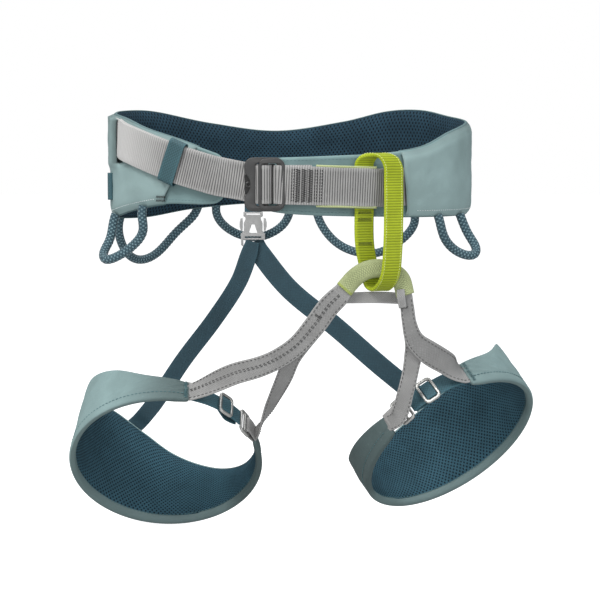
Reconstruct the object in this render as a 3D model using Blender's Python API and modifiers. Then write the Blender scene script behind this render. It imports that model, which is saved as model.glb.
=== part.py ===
"""Climbing sit harness: waist belt, belay loop, bridge and two leg loops.

Frame: origin at the centre of the waist ring at belt mid height, +X to the wearer's left,
-Y to the front (buckle and belay loop), +Z up. Dimensions below are in millimetres.
"""
import math

import bmesh
import bpy
from mathutils import Matrix, Vector

MM = 0.001

# ---- waist ring ----------------------------------------------------------------------
RING_A = 158.0            # inner half width of the belt along X
RING_B = 102.0            # inner half depth of the belt along Y
LINING_MID = 1.1          # distance of each layer's middle outside the inner ellipse
LINING_T = 2.2
FOAM_MID = 5.0
FOAM_T = 5.0
BASE_MID = 8.2
BASE_T = 0.8
WEB_MID = 10.0            # structural webbing inside the belt
WEB_T = 1.6
SHELL_MID = 11.9
SHELL_T = 1.0
LOAD_MID = 14.6           # load strap outside the shell
TAIL_MID = 17.0           # tail on top of the load strap
TIE_MID = 17.6            # tie-in strap, clear of the tongue
STRAP_W = 38.0
BELT_START = -9.0         # tongue tips, degrees round the ring from the front
BELT_END = 340.0
PAD_START = 12.0
PAD_END = 326.0
SHELL_START = 36.5
SHELL_END = 320.0
SHELL_SLANT = 14.0        # degrees the shell edge leans from bottom to top at the right front
BACK_HALF = 3.0           # half angle of the flat facet at the back
BELT_TOP = [(-9, 14.5), (12, 16.5), (30, 18.5), (46, 23.5), (62, 36), (82, 43), (113, 48.5),
            (130, 54), (145, 52.5), (162, 42), (185, 33), (208, 40.5), (234, 52.7),
            (255, 54), (275, 52), (293, 48.5), (308, 39.5), (322, 31), (335, 20), (340, 15)]
BELT_BOTTOM = [(-9, -32), (0, -35.5), (20, -38), (60, -40.5), (90, -41.5), (112, -44),
               (135, -48.5), (165, -44), (190, -38), (215, -42), (240, -48.5), (280, -43),
               (300, -35), (318, -28), (335, -27), (340, -22)]
TIP_ROUND = 3.5           # degrees over which a tongue tip rounds off
SLOT_REAR = 274.0         # slot in the shell where the load strap comes out
SLOT_FRONT = 277.5
LIP_START = 263.0
LIP_LIFT = 5.7
SLOT_LOW = 0.54           # slot height, as fractions of the shell's height
SLOT_HIGH = 0.965

# ---- buckle --------------------------------------------------------------------------
BUCKLE_Y = -120.0
BUCKLE_T = 3.0
STRAP_MID_Z = -8.5

# ---- leg loops -----------------------------------------------------------------------
LEG_R = 91.0
PAD_ARC = 303.0
PAD_WIDTH = [(0, 24), (26, 33), (50, 54), (75, 72), (100, 85), (125, 93), (150, 94),
             (175, 84), (195, 72), (215, 58), (235, 45), (255, 35), (275, 28), (303, 19)]
PAD_WIDTH_RIGHT = [(0, 24), (26, 33), (50, 54), (75, 72), (100, 87), (125, 100), (150, 108),
                   (175, 98), (195, 80), (215, 63), (235, 47), (255, 35), (275, 28), (303, 19)]
PAD_FOOT = 3.6            # the edge binding takes the first part of the width
LEG_SHELL_IN = 0.4        # layer middles measured inward from the outer radius
LEG_SHELL_T = 0.8
LEG_FOAM_IN = 2.9
LEG_FOAM_T = 3.5
LEG_LINING_IN = 5.8
LEG_LINING_T = 1.4
BINDING_R = 3.0
LEG_RIGHT = {"centre": (-118.7, -20.0, -276.0), "normal": (0.0, 0.78, 0.626),
             "start": 74.0, "turn": 1.0, "lean": 0.13, "width": PAD_WIDTH_RIGHT}
LEG_LEFT = {"centre": (150.7, -20.0, -257.9), "normal": (-0.461, 0.601, 0.652),
            "start": 105.0, "turn": -1.0, "lean": 0.0, "width": PAD_WIDTH}

# ---- small straps --------------------------------------------------------------------
KEEP_ANGLE = 321.0        # keeper: place round the ring, height, slope and size of the band
KEEP_Z = 9.3
KEEP_SLOPE = 19.0
KEEP_WIDTH = 11.5
KEEP_HALF = 23.5
KEEP_T = 0.5
CORD_R = 4.2
RISER_W = 20.0
RISER_T = 1.3
LOOP_W = 18.0             # belay loop
LOOP_T = 2.8
LEG_WEB_T = 1.8
LINK_ARC = -56.0          # gap between the two ends of a leg pad, degrees
LINK_BOW = 9.0

# ---- rear clip -----------------------------------------------------------------------
CLIP_X = -38.0
CLIP_Y = 99.0
CLIP_Z = -60.5
ARM_SIDE = 11.7

# ---- frame ---------------------------------------------------------------------------
# every size above is measured from the middle of the waist ring; the frame's origin is
# the middle of the whole harness's box
BOX_MIDDLE = (10.9, -0.4, -146.5)

for old in list(bpy.data.objects):
    bpy.data.objects.remove(old, do_unlink=True)

root_collection = bpy.data.collections.new("climbing_harness")
cutter_collection = bpy.data.collections.new("cutters")
bpy.context.scene.collection.children.link(root_collection)
bpy.context.scene.collection.children.link(cutter_collection)
cutter_collection.hide_render = True


def material(name, colour, roughness, metallic=0.0):
    mat = bpy.data.materials.new(name)
    mat.use_nodes = True
    shader = mat.node_tree.nodes["Principled BSDF"]
    shader.inputs["Base Color"].default_value = (*colour, 1.0)
    shader.inputs["Roughness"].default_value = roughness
    shader.inputs["Metallic"].default_value = metallic
    return mat


SHELL_TEAL = (0.20, 0.33, 0.34)
MESH_TEAL = (0.05, 0.13, 0.16)
WEB_GREY = (0.36, 0.36, 0.35)
DARK_METAL = (0.08, 0.09, 0.10)
LIGHT_METAL = (0.55, 0.56, 0.55)
LIME = (0.55, 0.68, 0.05)
PALE_LIME = (0.55, 0.66, 0.30)
RISER_TEAL = (0.06, 0.17, 0.20)
FOAM_GREY = (0.30, 0.31, 0.32)


def finish(obj, mat):
    obj.data.materials.append(mat)
    for coll in list(obj.users_collection):
        coll.objects.unlink(obj)
    root_collection.objects.link(obj)
    return obj


def smooth_table(table, x):
    """Smooth interpolation through (position, value) pairs."""
    if x <= table[0][0]:
        return table[0][1]
    if x >= table[-1][0]:
        return table[-1][1]
    i = 0
    while table[i + 1][0] < x:
        i += 1
    x0, y0 = table[i]
    x1, y1 = table[i + 1]
    before = table[i - 1] if i > 0 else table[i]
    after = table[i + 2] if i + 2 < len(table) else table[i + 1]
    slope0 = (y1 - before[1]) / (x1 - before[0])
    slope1 = (after[1] - y0) / (after[0] - x0)
    h = x1 - x0
    t = (x - x0) / h
    a = 2 * t ** 3 - 3 * t ** 2 + 1
    b = t ** 3 - 2 * t ** 2 + t
    c = -2 * t ** 3 + 3 * t ** 2
    d = t ** 3 - t ** 2
    return a * y0 + b * h * slope0 + c * y1 + d * h * slope1


def spread(first, last, count):
    return [first + (last - first) * i / count for i in range(count + 1)]


def sheet(name, columns, rows, place, thickness, mat, skip=None):
    """Open grid bent by place(column, row), thickened about its middle."""
    bm = bmesh.new()
    bmesh.ops.create_grid(bm, x_segments=len(columns) - 1, y_segments=len(rows) - 1, size=0.5)
    gone = []
    for face in bm.faces:
        middle = face.calc_center_median()
        i = int((middle.x + 0.5) * (len(columns) - 1))
        j = int((middle.y + 0.5) * (len(rows) - 1))
        if skip and skip(i, j):
            gone.append(face)
    bmesh.ops.delete(bm, geom=gone, context="FACES")
    for vert in bm.verts:
        i = round((vert.co.x + 0.5) * (len(columns) - 1))
        j = round((vert.co.y + 0.5) * (len(rows) - 1))
        vert.co = place(columns[i], rows[j]) * MM
    mesh = bpy.data.meshes.new(name)
    bm.to_mesh(mesh)
    bm.free()
    obj = bpy.data.objects.new(name, mesh)
    root_collection.objects.link(obj)
    solid = obj.modifiers.new("thickness", "SOLIDIFY")
    solid.thickness = thickness * MM
    solid.offset = 0.0
    solid.use_even_offset = True
    return finish(obj, mat)


def ring_point(angle, mid, z):
    turn = math.radians(angle)
    return Vector(((RING_A + mid) * math.sin(turn), -(RING_B + mid) * math.cos(turn), z))


def belt_height(angle, share):
    top = smooth_table(BELT_TOP, angle)
    bottom = smooth_table(BELT_BOTTOM, angle)
    return bottom + (top - bottom) * share


def tip_share(angle, share):
    """Pulls the rows of a tongue tip together so it ends in a rounded point."""
    edge = min(angle - BELT_START, BELT_END - angle)
    if edge >= TIP_ROUND:
        return share
    reach = math.sqrt(max(1 - (1 - edge / TIP_ROUND) ** 2, 0.0))
    return 0.5 + (share - 0.5) * (0.55 + 0.45 * reach)


def back_columns(first, last, count_right, count_left):
    return (spread(first, 180.0 - BACK_HALF, count_right)
            + spread(180.0 + BACK_HALF, last, count_left))


# ---- belt layers ---------------------------------------------------------------------
mat_lining = material("belt_lining_mesh", MESH_TEAL, 0.9)
mat_foam = material("foam", FOAM_GREY, 0.9)
mat_shell = material("shell_fabric", SHELL_TEAL, 0.75)
mat_waist = material("waist_webbing", WEB_GREY, 0.7)

EDGE = 0.02
sheet("belt_lining", back_columns(PAD_START, PAD_END, 25, 22), [EDGE, 0.35, 0.65, 1 - EDGE],
      lambda a, s: ring_point(a, LINING_MID, belt_height(a, s)), LINING_T, mat_lining)
sheet("belt_foam", back_columns(PAD_START + 2, PAD_END - 2, 25, 22), [0.04, 0.5, 0.96],
      lambda a, s: ring_point(a, FOAM_MID, belt_height(a, s)), FOAM_T, mat_foam)
sheet("belt_base_shell", back_columns(BELT_START, BELT_END, 30, 27), [0.0, 0.25, 0.5, 0.75, 1.0],
      lambda a, s: ring_point(a, BASE_MID, belt_height(a, tip_share(a, s))), BASE_T, mat_shell)


def shell_place(angle, share):
    mid = SHELL_MID
    in_slot = 0.5 < share < 0.98
    if in_slot and LIP_START < angle <= SLOT_REAR:
        rise = min((angle - LIP_START) / 4.5, 1.0)
        mid += LIP_LIFT * rise * rise * (3 - 2 * rise)
    start = SHELL_START + 2.0 * (1.0 - share)
    end = SHELL_END + SHELL_SLANT * (share - 0.2)
    if angle <= SHELL_START:
        angle = start
    if angle >= SHELL_END:
        angle = end
    return ring_point(angle, mid, belt_height(angle, share))


shell_columns = (spread(SHELL_START, 180.0 - BACK_HALF, 24) + spread(180.0 + BACK_HALF, LIP_START, 13)
                 + [265.5, 268.0, 271.0, SLOT_REAR, SLOT_FRONT] + spread(282.0, SHELL_END, 6))
slot_column = shell_columns.index(SLOT_REAR)
sheet("belt_outer_shell", shell_columns, [0.0, 0.27, 0.5, SLOT_LOW, SLOT_HIGH, 1.0],
      shell_place, SHELL_T, mat_shell, skip=lambda i, j: i == slot_column and j == 3)


def path_samples(stations, steps):
    """Smooth samples (position, normal, width) along a list of stations."""
    xs = list(range(len(stations)))
    flat = [[*s[0], *s[1], s[2]] for s in stations]
    out = []
    total = (len(stations) - 1) * steps
    for k in range(total + 1):
        x = k / steps
        values = [smooth_table([(i, row[c]) for i, row in zip(xs, flat)], x) for c in range(7)]
        out.append((Vector(values[0:3]), Vector(values[3:6]), values[6]))
    return out


def ribbon(name, stations, thickness, mat, steps=3):
    """Flat strap through stations of (centre, facing direction, width)."""
    samples = path_samples(stations, steps)
    frames = []
    for k, (centre, facing, width) in enumerate(samples):
        ahead = samples[min(k + 1, len(samples) - 1)][0]
        behind = samples[max(k - 1, 0)][0]
        along = (ahead - behind).normalized()
        across = along.cross(facing).normalized() * (width / 2)
        frames.append((centre, across))
    return sheet(name, list(range(len(frames))), [-1.0, 1.0],
                 lambda k, side: frames[k][0] + frames[k][1] * side, thickness, mat)


def ring_station(angle, mid, z, width=STRAP_W):
    turn = math.radians(angle)
    facing = (math.sin(turn) / (RING_A + mid), -math.cos(turn) / (RING_B + mid), 0.0)
    size = math.hypot(facing[0], facing[1])
    return (tuple(ring_point(angle, mid, z)), (facing[0] / size, facing[1] / size, 0.0), width)


# ---- waist webbing: inside the belt, out of the slot, round the slider bar, tail back -
FRONT = (0.0, -1.0, 0.0)
BACK = (0.0, 1.0, 0.0)
TO_RIGHT = (1.0, 0.0, 0.0)
TO_LEFT = (-1.0, 0.0, 0.0)
WEB_STEP = 5.6            # degrees between webbing stations
WEB_HEIGHT = [(47, -11), (70, -2), (95, 3), (120, 5), (145, 3), (170, -2), (195, -1), (220, 5),
              (240, 14), (254, 23), (264, 27.5), (278, 28.5), (290, 27.5), (302, 22.5), (314, 15),
              (326, 6), (336, -1)]
WEB_LEVEL = [(265, WEB_MID), (278, LOAD_MID - 0.6), (284, LOAD_MID - 0.6), (302, LOAD_MID),
             (330, LOAD_MID), (337, LOAD_MID + 0.2)]


def flipped(station):
    centre, facing, width = station
    return (centre, tuple(-c for c in facing), width)


def along_ring(first, last, level, height):
    count = round(abs(last - first) / WEB_STEP)
    return [ring_station(a, smooth_table(level, a), smooth_table(height, a))
            for a in spread(first, last, count)]


load = [((-44.0, -114.5, -5.5), FRONT, STRAP_W), ((-36.0, -114.8, -7.0), FRONT, STRAP_W),
        ((-28.0, -115.0, -8.0), FRONT, STRAP_W), ((-19.4, -115.0, STRAP_MID_Z), FRONT, STRAP_W),
        ((-17.6, -115.8, STRAP_MID_Z), (-0.7, -0.7, 0.0), STRAP_W),
        ((-16.9, -117.3, STRAP_MID_Z), TO_LEFT, STRAP_W),
        ((-17.6, -118.8, STRAP_MID_Z), (-0.7, 0.7, 0.0), STRAP_W),
        ((-19.4, -119.6, STRAP_MID_Z), BACK, STRAP_W), ((-26.4, -119.7, STRAP_MID_Z), BACK, STRAP_W),
        ((-28.4, -119.3, STRAP_MID_Z), BACK, STRAP_W), ((-33.0, -116.8, -8.2), BACK, STRAP_W),
        ((-40.0, -116.9, -6.0), BACK, STRAP_W)]
TAIL_HEIGHT = [(271, 27.5), (278, 27.5), (290, 26), (302, 21), (314, 13.5), (326, 5), (340, -3.5)]
TAIL_LEVEL = [(270, TAIL_MID - 1.3), (284, TAIL_MID - 1.3), (302, TAIL_MID - 0.2),
              (338, TAIL_MID - 0.2)]
waist = (along_ring(47.0, 337.0, WEB_LEVEL, WEB_HEIGHT) + load
         + [flipped(s) for s in along_ring(338.0, 271.0, TAIL_LEVEL, TAIL_HEIGHT)])
ribbon("waist_webbing", waist, WEB_T, mat_waist, steps=1)

# ---- tie-in strap: folded round the buckle's fixed bar, runs under the shell ----------
tie = [((19.0, -116.6, STRAP_MID_Z), BACK, STRAP_W), ((6.0, -117.2, STRAP_MID_Z), BACK, STRAP_W),
       ((-11.6, -117.3, STRAP_MID_Z), BACK, STRAP_W),
       ((-13.6, -118.2, STRAP_MID_Z), (-0.7, 0.7, 0.0), STRAP_W),
       ((-14.4, -120.0, STRAP_MID_Z), TO_LEFT, STRAP_W),
       ((-13.6, -121.8, STRAP_MID_Z), (-0.7, -0.7, 0.0), STRAP_W),
       ((-11.6, -122.7, STRAP_MID_Z), FRONT, STRAP_W), ((-3.0, -122.4, -9.0), FRONT, STRAP_W),
       ((8.0, -121.0, -9.4), FRONT, STRAP_W)]
TIE_LEVEL = [(6, TIE_MID + 1.2), (14, TIE_MID), (25, TIE_MID), (34.5, WEB_MID), (44, WEB_MID)]
TIE_HEIGHT = [(6, -9.7), (18, -11), (30, -12.3), (44, -11.5)]
tie += [ring_station(a, smooth_table(TIE_LEVEL, a), smooth_table(TIE_HEIGHT, a))
        for a in spread(6.5, 44.0, 14)]
ribbon("tie_in_strap", tie, WEB_T, material("tie_in_webbing", WEB_GREY, 0.7), steps=1)

# ---- wear sleeve over the tie-in strap --------------------------------------------------
mat_pale = material("pale_sleeve", PALE_LIME, 0.7)
for tag, height in (("upper", STRAP_W / 2 + 1.3), ("lower", -STRAP_W / 2 - 1.3)):
    edge = [ring_station(a, TIE_MID, z + height, 1.8)
            for a, z in ((9, -10.1), (17, -10.9), (25, -11.8))]
    ribbon("wear_sleeve_" + tag, edge, 2.2, mat_pale, steps=4)

# ---- buckle --------------------------------------------------------------------------
mat_plate = material("buckle_metal", DARK_METAL, 0.35, 1.0)
mat_slider = material("slider_metal", DARK_METAL, 0.4, 1.0)


def box(name, low, high, collection):
    centre = [(a + b) / 2 for a, b in zip(low, high)]
    size = [b - a for a, b in zip(low, high)]
    bpy.ops.mesh.primitive_cube_add(size=1.0, location=(0.0, 0.0, 0.0))
    obj = bpy.context.active_object
    obj.name = name
    obj.data.transform(Matrix.Diagonal((*(d * MM for d in size), 1.0)))
    obj.data.transform(Matrix.Translation(Vector(centre) * MM))
    for coll in list(obj.users_collection):
        coll.objects.unlink(obj)
    collection.objects.link(obj)
    return obj


def cut(obj, cutter):
    cutter.display_type = "WIRE"
    cutter.hide_render = True
    mod = obj.modifiers.new("cut", "BOOLEAN")
    mod.operation = "DIFFERENCE"
    mod.solver = "EXACT"
    mod.object = cutter


def plate(name, width, height, thickness, windows, mat, corner, centre, along, long_way):
    """Flat plate with rounded corners and rectangular windows.

    Local X is along, local Z is long_way, and local Y is through the thickness."""
    x_axis = Vector(along).normalized()
    z_axis = Vector(long_way)
    z_axis = (z_axis - x_axis * z_axis.dot(x_axis)).normalized()
    y_axis = z_axis.cross(x_axis)
    turn = Matrix((x_axis, y_axis, z_axis)).transposed().to_4x4()
    where = Matrix.Translation(Vector(centre) * MM) @ turn
    obj = box(name, (-width / 2, -thickness / 2, -height / 2), (width / 2, thickness / 2, height / 2),
              root_collection)
    weights = obj.data.attributes.new("bevel_weight_edge", "FLOAT", "EDGE")
    for edge in obj.data.edges:
        first, second = (obj.data.vertices[i].co for i in edge.vertices)
        weights.data[edge.index].value = 1.0 if abs(first.y - second.y) > thickness * MM / 2 else 0.0
    rounded = obj.modifiers.new("corners", "BEVEL")
    rounded.width = corner * MM
    rounded.segments = 3
    rounded.limit_method = "WEIGHT"
    obj.matrix_world = where
    for index, (wx, wz) in enumerate(windows):
        cutter = box(name + "_window_" + str(index), (wx[0], -thickness, wz[0]),
                     (wx[1], thickness, wz[1]), cutter_collection)
        cutter.matrix_world = where
        cut(obj, cutter)
    obj.data.materials.append(mat)
    return obj


HALF_STRAP = STRAP_W / 2 + 1.2
BUCKLE_CENTRE = (-23.0, BUCKLE_Y, STRAP_MID_Z)
UPWARD = (0.0, 0.0, 1.0)
plate("buckle_plate", 36.0, 48.0, BUCKLE_T,
      [((-11.5, 11.5), (-HALF_STRAP, HALF_STRAP)), ((16.0, 20.0), (-HALF_STRAP, HALF_STRAP))],
      mat_plate, 5.0, BUCKLE_CENTRE, TO_RIGHT, UPWARD)
plate("buckle_slider", 7.4, 43.0, 1.4, [], mat_slider, 2.0, (-23.2, -117.3, STRAP_MID_Z),
      TO_RIGHT, UPWARD)

# ---- keeper --------------------------------------------------------------------------
mat_keeper = material("keeper_elastic", RISER_TEAL, 0.85)
keep_low = SHELL_MID + SHELL_T / 2 + 0.3 + KEEP_T / 2
keep_high = TAIL_MID + WEB_T / 2 + 0.8 + KEEP_T / 2
keep_frame = ring_station(KEEP_ANGLE, (keep_low + keep_high) / 2, KEEP_Z)
keep_out = Vector(keep_frame[1])
keep_slope = math.radians(KEEP_SLOPE)
keep_level = keep_out.cross(Vector((0, 0, 1))).normalized()
keep_along = keep_level * math.cos(keep_slope) + Vector((0, 0, 1)) * math.sin(keep_slope)
keep_across = keep_out.cross(keep_along).normalized()


def tape_ring(name, centre, across, out, half_long, half_out, width, along, thickness, mat, sides=6):
    """Closed band round a flat strap: a rounded rectangle in the across/out plane."""
    bm = bmesh.new()
    outline = []
    corner = half_out
    for quarter in range(2):
        sign = 1 if quarter == 0 else -1
        for k in range(sides + 1):
            turn = -math.pi / 2 + math.pi * k / sides
            outline.append((sign * (half_long - corner + corner * math.cos(turn)),
                            sign * corner * math.sin(turn)))
    rows = []
    for side in (-0.5, 0.5):
        rows.append([bm.verts.new((centre + across * p + out * q + along * width * side) * MM)
                     for p, q in outline])
    count = len(outline)
    for k in range(count):
        bm.faces.new((rows[0][k], rows[0][(k + 1) % count], rows[1][(k + 1) % count], rows[1][k]))
    bmesh.ops.recalc_face_normals(bm, faces=bm.faces)
    mesh = bpy.data.meshes.new(name)
    bm.to_mesh(mesh)
    bm.free()
    obj = bpy.data.objects.new(name, mesh)
    root_collection.objects.link(obj)
    solid = obj.modifiers.new("thickness", "SOLIDIFY")
    solid.thickness = thickness * MM
    solid.offset = 0.0
    return finish(obj, mat)


tape_ring("waist_keeper", Vector(keep_frame[0]), keep_across, keep_out, KEEP_HALF,
          (keep_high - keep_low) / 2, KEEP_WIDTH, keep_along, KEEP_T, mat_keeper)


# ---- cords ---------------------------------------------------------------------------
def cord(name, points, radius, mat, closed=False, resolution=3):
    curve = bpy.data.curves.new(name, "CURVE")
    curve.dimensions = "3D"
    curve.bevel_depth = radius * MM
    curve.bevel_resolution = 2
    curve.resolution_u = resolution
    curve.use_fill_caps = True
    spline = curve.splines.new("BEZIER")
    spline.bezier_points.add(len(points) - 1)
    spline.use_cyclic_u = closed
    for knot, point in zip(spline.bezier_points, points):
        knot.co = Vector(point) * MM
        knot.handle_left_type = "AUTO"
        knot.handle_right_type = "AUTO"
    obj = bpy.data.objects.new(name, curve)
    root_collection.objects.link(obj)
    return finish(obj, mat)


mat_cord = material("gear_cord", (0.12, 0.24, 0.28), 0.8)
GEAR_LOOPS = {
    "gear_loop_right_front": [(-137, -69, -37.5), (-134, -66, -54), (-150, -58, -72), (-172, -48, -83),
                              (-175, -38, -76), (-168, -30, -64), (-166, -27, -47.5)],
    "gear_loop_right_rear": [(-94, 96, -47.5), (-114, 92, -66), (-132, 80, -86), (-147, 66, -92),
                             (-158, 52, -86), (-165, 38, -70), (-166, 28, -53)],
    "haul_loop": [(-76, 101, -46), (-71, 107, -57), (-60, 116, -67), (-46, 121, -73), (-29, 122, -73),
                  (-14, 120, -66), (-5, 115, -57), (-1, 111, -46)],
    "gear_loop_left_rear": [(25, 110, -49), (32, 108, -64), (46, 105, -79), (65, 100, -87),
                            (87, 93, -87), (107, 86, -75), (118, 81, -64), (123, 78, -53)],
    "gear_loop_left_front": [(137, -67, -46), (139, -66, -57), (146, -62, -68), (158, -57, -76),
                             (171, -51, -78), (173, -46, -71), (165, -42, -60), (159, -41, -46.5)],
}
for loop_name, points in GEAR_LOOPS.items():
    cord(loop_name, points, CORD_R, mat_cord, resolution=2)

# ---- accessory slot loop -------------------------------------------------------------
mat_tab = material("accessory_tab", RISER_TEAL, 0.85)
ribbon("accessory_slot", [(tuple(ring_point(283, 14.2, -2)), (-1.0, -0.2, 0.0), 5.0),
                          (tuple(ring_point(283, 16.4, -8)), (-1.0, -0.2, 0.0), 5.0),
                          (tuple(ring_point(283, 16.4, -24)), (-1.0, -0.2, 0.0), 5.0),
                          (tuple(ring_point(283, 14.2, -31)), (-1.0, -0.2, 0.0), 5.0)], 1.4, mat_tab)

# ---- belay loop ----------------------------------------------------------------------
mat_loop = material("belay_loop_webbing", LIME, 0.6)
LOOP_CENTRE = [(66, -106, 0), (66, -106, -30), (66.3, -105.8, -60), (69.5, -105.3, -80),
               (75, -107.2, -100), (81.5, -115, -102), (88.5, -122.8, -90), (91, -122, -67),
               (92, -116, -34), (92, -111.5, -6), (91.5, -111.5, 7), (87, -111, 15),
               (79, -110, 17.5), (70, -107.5, 15.5), (66.2, -106, 10)]
LOOP_ACROSS = Vector((0.96, 0.26, 0.0)).normalized()


def loop_band(name, centres, across, width, thickness, mat, steps=2):
    """Endless webbing loop whose width keeps one direction."""
    count = len(centres)
    ring = []
    for k in range(count * steps):
        x = k / steps
        i = int(x)
        t = x - i
        p0, p1, p2, p3 = (Vector(centres[(i + d) % count]) for d in (-1, 0, 1, 2))
        point = 0.5 * ((2 * p1) + (p2 - p0) * t + (2 * p0 - 5 * p1 + 4 * p2 - p3) * t * t
                       + (3 * p1 - p0 - 3 * p2 + p3) * t ** 3)
        ring.append(point)
    bm = bmesh.new()
    rows = [[bm.verts.new((p + across * width * side) * MM) for p in ring] for side in (-0.5, 0.5)]
    total = len(ring)
    for k in range(total):
        bm.faces.new((rows[0][k], rows[0][(k + 1) % total], rows[1][(k + 1) % total], rows[1][k]))
    bmesh.ops.recalc_face_normals(bm, faces=bm.faces)
    mesh = bpy.data.meshes.new(name)
    bm.to_mesh(mesh)
    bm.free()
    obj = bpy.data.objects.new(name, mesh)
    root_collection.objects.link(obj)
    solid = obj.modifiers.new("thickness", "SOLIDIFY")
    solid.thickness = thickness * MM
    solid.offset = 0.0
    return finish(obj, mat)


loop_band("belay_loop", LOOP_CENTRE, LOOP_ACROSS, LOOP_W, LOOP_T, mat_loop)

# ---- bridge, protector and cross strap -----------------------------------------------
mat_leg_web = material("leg_webbing", (0.30, 0.30, 0.29), 0.75)
BRIDGE = [((48, -112, -103), FRONT), ((59, -112.5, -91), FRONT), ((70, -113, -85), FRONT),
          ((84, -112.8, -84.5), FRONT), ((98, -112.3, -92.5), FRONT), ((103, -112.5, -108), FRONT)]


def hollow_sleeve(name, path, half_wide, half_thick, wall, mat, steps=2, sides=4):
    """Flattened tube along a path of (centre, facing)."""
    samples = path_samples([(c, f, 1.0) for c, f in path], steps)
    outline = []
    for sign in (1, -1):
        for k in range(sides + 1):
            turn = -math.pi / 2 + math.pi * k / sides
            outline.append((sign * (half_wide - half_thick + half_thick * math.cos(turn)),
                            sign * half_thick * math.sin(turn)))
    bm = bmesh.new()
    rings = []
    for k, (centre, facing, _) in enumerate(samples):
        along = (samples[min(k + 1, len(samples) - 1)][0] - samples[max(k - 1, 0)][0]).normalized()
        across = along.cross(facing).normalized()
        out = across.cross(along).normalized()
        rings.append([bm.verts.new((centre + across * p + out * q) * MM) for p, q in outline])
    count = len(outline)
    for low, high in zip(rings, rings[1:]):
        for k in range(count):
            bm.faces.new((low[k], low[(k + 1) % count], high[(k + 1) % count], high[k]))
    bmesh.ops.recalc_face_normals(bm, faces=bm.faces)
    mesh = bpy.data.meshes.new(name)
    bm.to_mesh(mesh)
    bm.free()
    obj = bpy.data.objects.new(name, mesh)
    root_collection.objects.link(obj)
    solid = obj.modifiers.new("thickness", "SOLIDIFY")
    solid.thickness = wall * MM
    solid.offset = -1.0
    return finish(obj, mat)


hollow_sleeve("bridge_protector", BRIDGE, 8.4, 2.4, 0.9, mat_pale)
ribbon("bridge_webbing", [(c, f, 12.5) for c, f in BRIDGE], 1.8,
       material("bridge_core", WEB_GREY, 0.75), steps=2)
ribbon("cross_strap", [((54, -107.2, -111.0), FRONT, 10.0), ((75, -107.6, -110.5), FRONT, 10.0),
                       ((92, -107.2, -111.0), FRONT, 10.0)], 1.5,
       material("cross_webbing", WEB_GREY, 0.75), steps=3)


# ---- leg loops -----------------------------------------------------------------------
def leg_axes(leg):
    normal = Vector(leg["normal"]).normalized()
    side = Vector((0.0, 0.0, 1.0)).cross(normal).normalized()
    if side.x < 0:
        side = -side
    up = normal.cross(side)
    if up.z < 0:
        up = -up
    return normal, side, up


def leg_point(leg, arc, inward, share):
    """Point on a leg pad: arc from the front end, depth inside, share of the width."""
    normal, side, up = leg_axes(leg)
    turn = math.radians(leg["start"] + leg["turn"] * arc)
    rise = PAD_FOOT + (smooth_table(leg["width"], arc) - PAD_FOOT) * share
    radius = LEG_R - inward - leg["lean"] * (rise - PAD_FOOT)
    return (Vector(leg["centre"]) + side * (radius * math.cos(turn)) + up * (radius * math.sin(turn))
            + normal * rise)


def leg_out(leg, arc):
    _, side, up = leg_axes(leg)
    turn = math.radians(leg["start"] + leg["turn"] * arc)
    return side * math.cos(turn) + up * math.sin(turn)


mat_leg_lining = material("leg_lining_mesh", MESH_TEAL, 0.9)
mat_binding = material("edge_binding", (0.22, 0.36, 0.36), 0.7)
for tag, leg in (("right", LEG_RIGHT), ("left", LEG_LEFT)):
    arcs = spread(1.0, PAD_ARC, 48)
    inner_arcs = spread(3.0, PAD_ARC - 2, 46)
    sheet("leg_shell_" + tag, arcs, [0.0, 0.33, 0.67, 1.0],
          lambda a, s, leg=leg: leg_point(leg, a, LEG_SHELL_IN, s), LEG_SHELL_T, mat_shell)
    sheet("leg_foam_" + tag, inner_arcs, [0.03, 0.5, 0.97],
          lambda a, s, leg=leg: leg_point(leg, a, LEG_FOAM_IN, s), LEG_FOAM_T, mat_foam)
    sheet("leg_lining_" + tag, inner_arcs, [0.02, 0.5, 0.98],
          lambda a, s, leg=leg: leg_point(leg, a, LEG_LINING_IN, s), LEG_LINING_T, mat_leg_lining)
    normal = leg_axes(leg)[0]
    rim = [leg_point(leg, a, 3.2, 0.0) - normal * (BINDING_R + 0.6)
           for a in spread(4.0, PAD_ARC - 3, 14)]
    cord("leg_binding_" + tag, [tuple(p) for p in rim], BINDING_R, mat_binding, resolution=3)

right_end = leg_out(LEG_RIGHT, 0)
left_end = leg_out(LEG_LEFT, 0)
right_start = leg_point(LEG_RIGHT, -2.0, 2.6, 0.5)
left_start = leg_point(LEG_LEFT, -2.0, 2.6, 0.5)
ribbon("leg_front_webbing_right",
       [((44.5, -112, -107.5), FRONT, 20), ((34, -109, -119), FRONT, 20), ((22, -105, -136), FRONT, 20),
        ((7, -100, -154), FRONT, 21), ((-10, -94.5, -167), FRONT, 22),
        ((-28, -88, -176), (0.05, -0.98, 0.1), 22), ((-52, -80, -184), (0.12, -0.9, 0.35), 22),
        (tuple(right_start), tuple(right_end), 23)],
       LEG_WEB_T, mat_leg_web)
ribbon("leg_front_webbing_left",
       [((104, -112, -113), FRONT, 12), ((106.5, -109, -132), FRONT, 13), ((112, -104, -149), FRONT, 17),
        ((125, -97, -161.5), FRONT, 22), ((142, -86, -173), (0.05, -0.95, 0.25), 22),
        (tuple(left_start), tuple(left_end), 22)],
       LEG_WEB_T, mat_leg_web)
ribbon("leg_fork_webbing_right",
       [((1, -93.0, -166), FRONT, 17), ((-6, -83, -186), (0.1, -1, 0), 15),
        ((-16, -66, -210), (0.4, -0.9, 0), 13), ((-27, -44, -236), (0.8, -0.5, 0.2), 13)],
       LEG_WEB_T, mat_leg_web)
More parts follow.
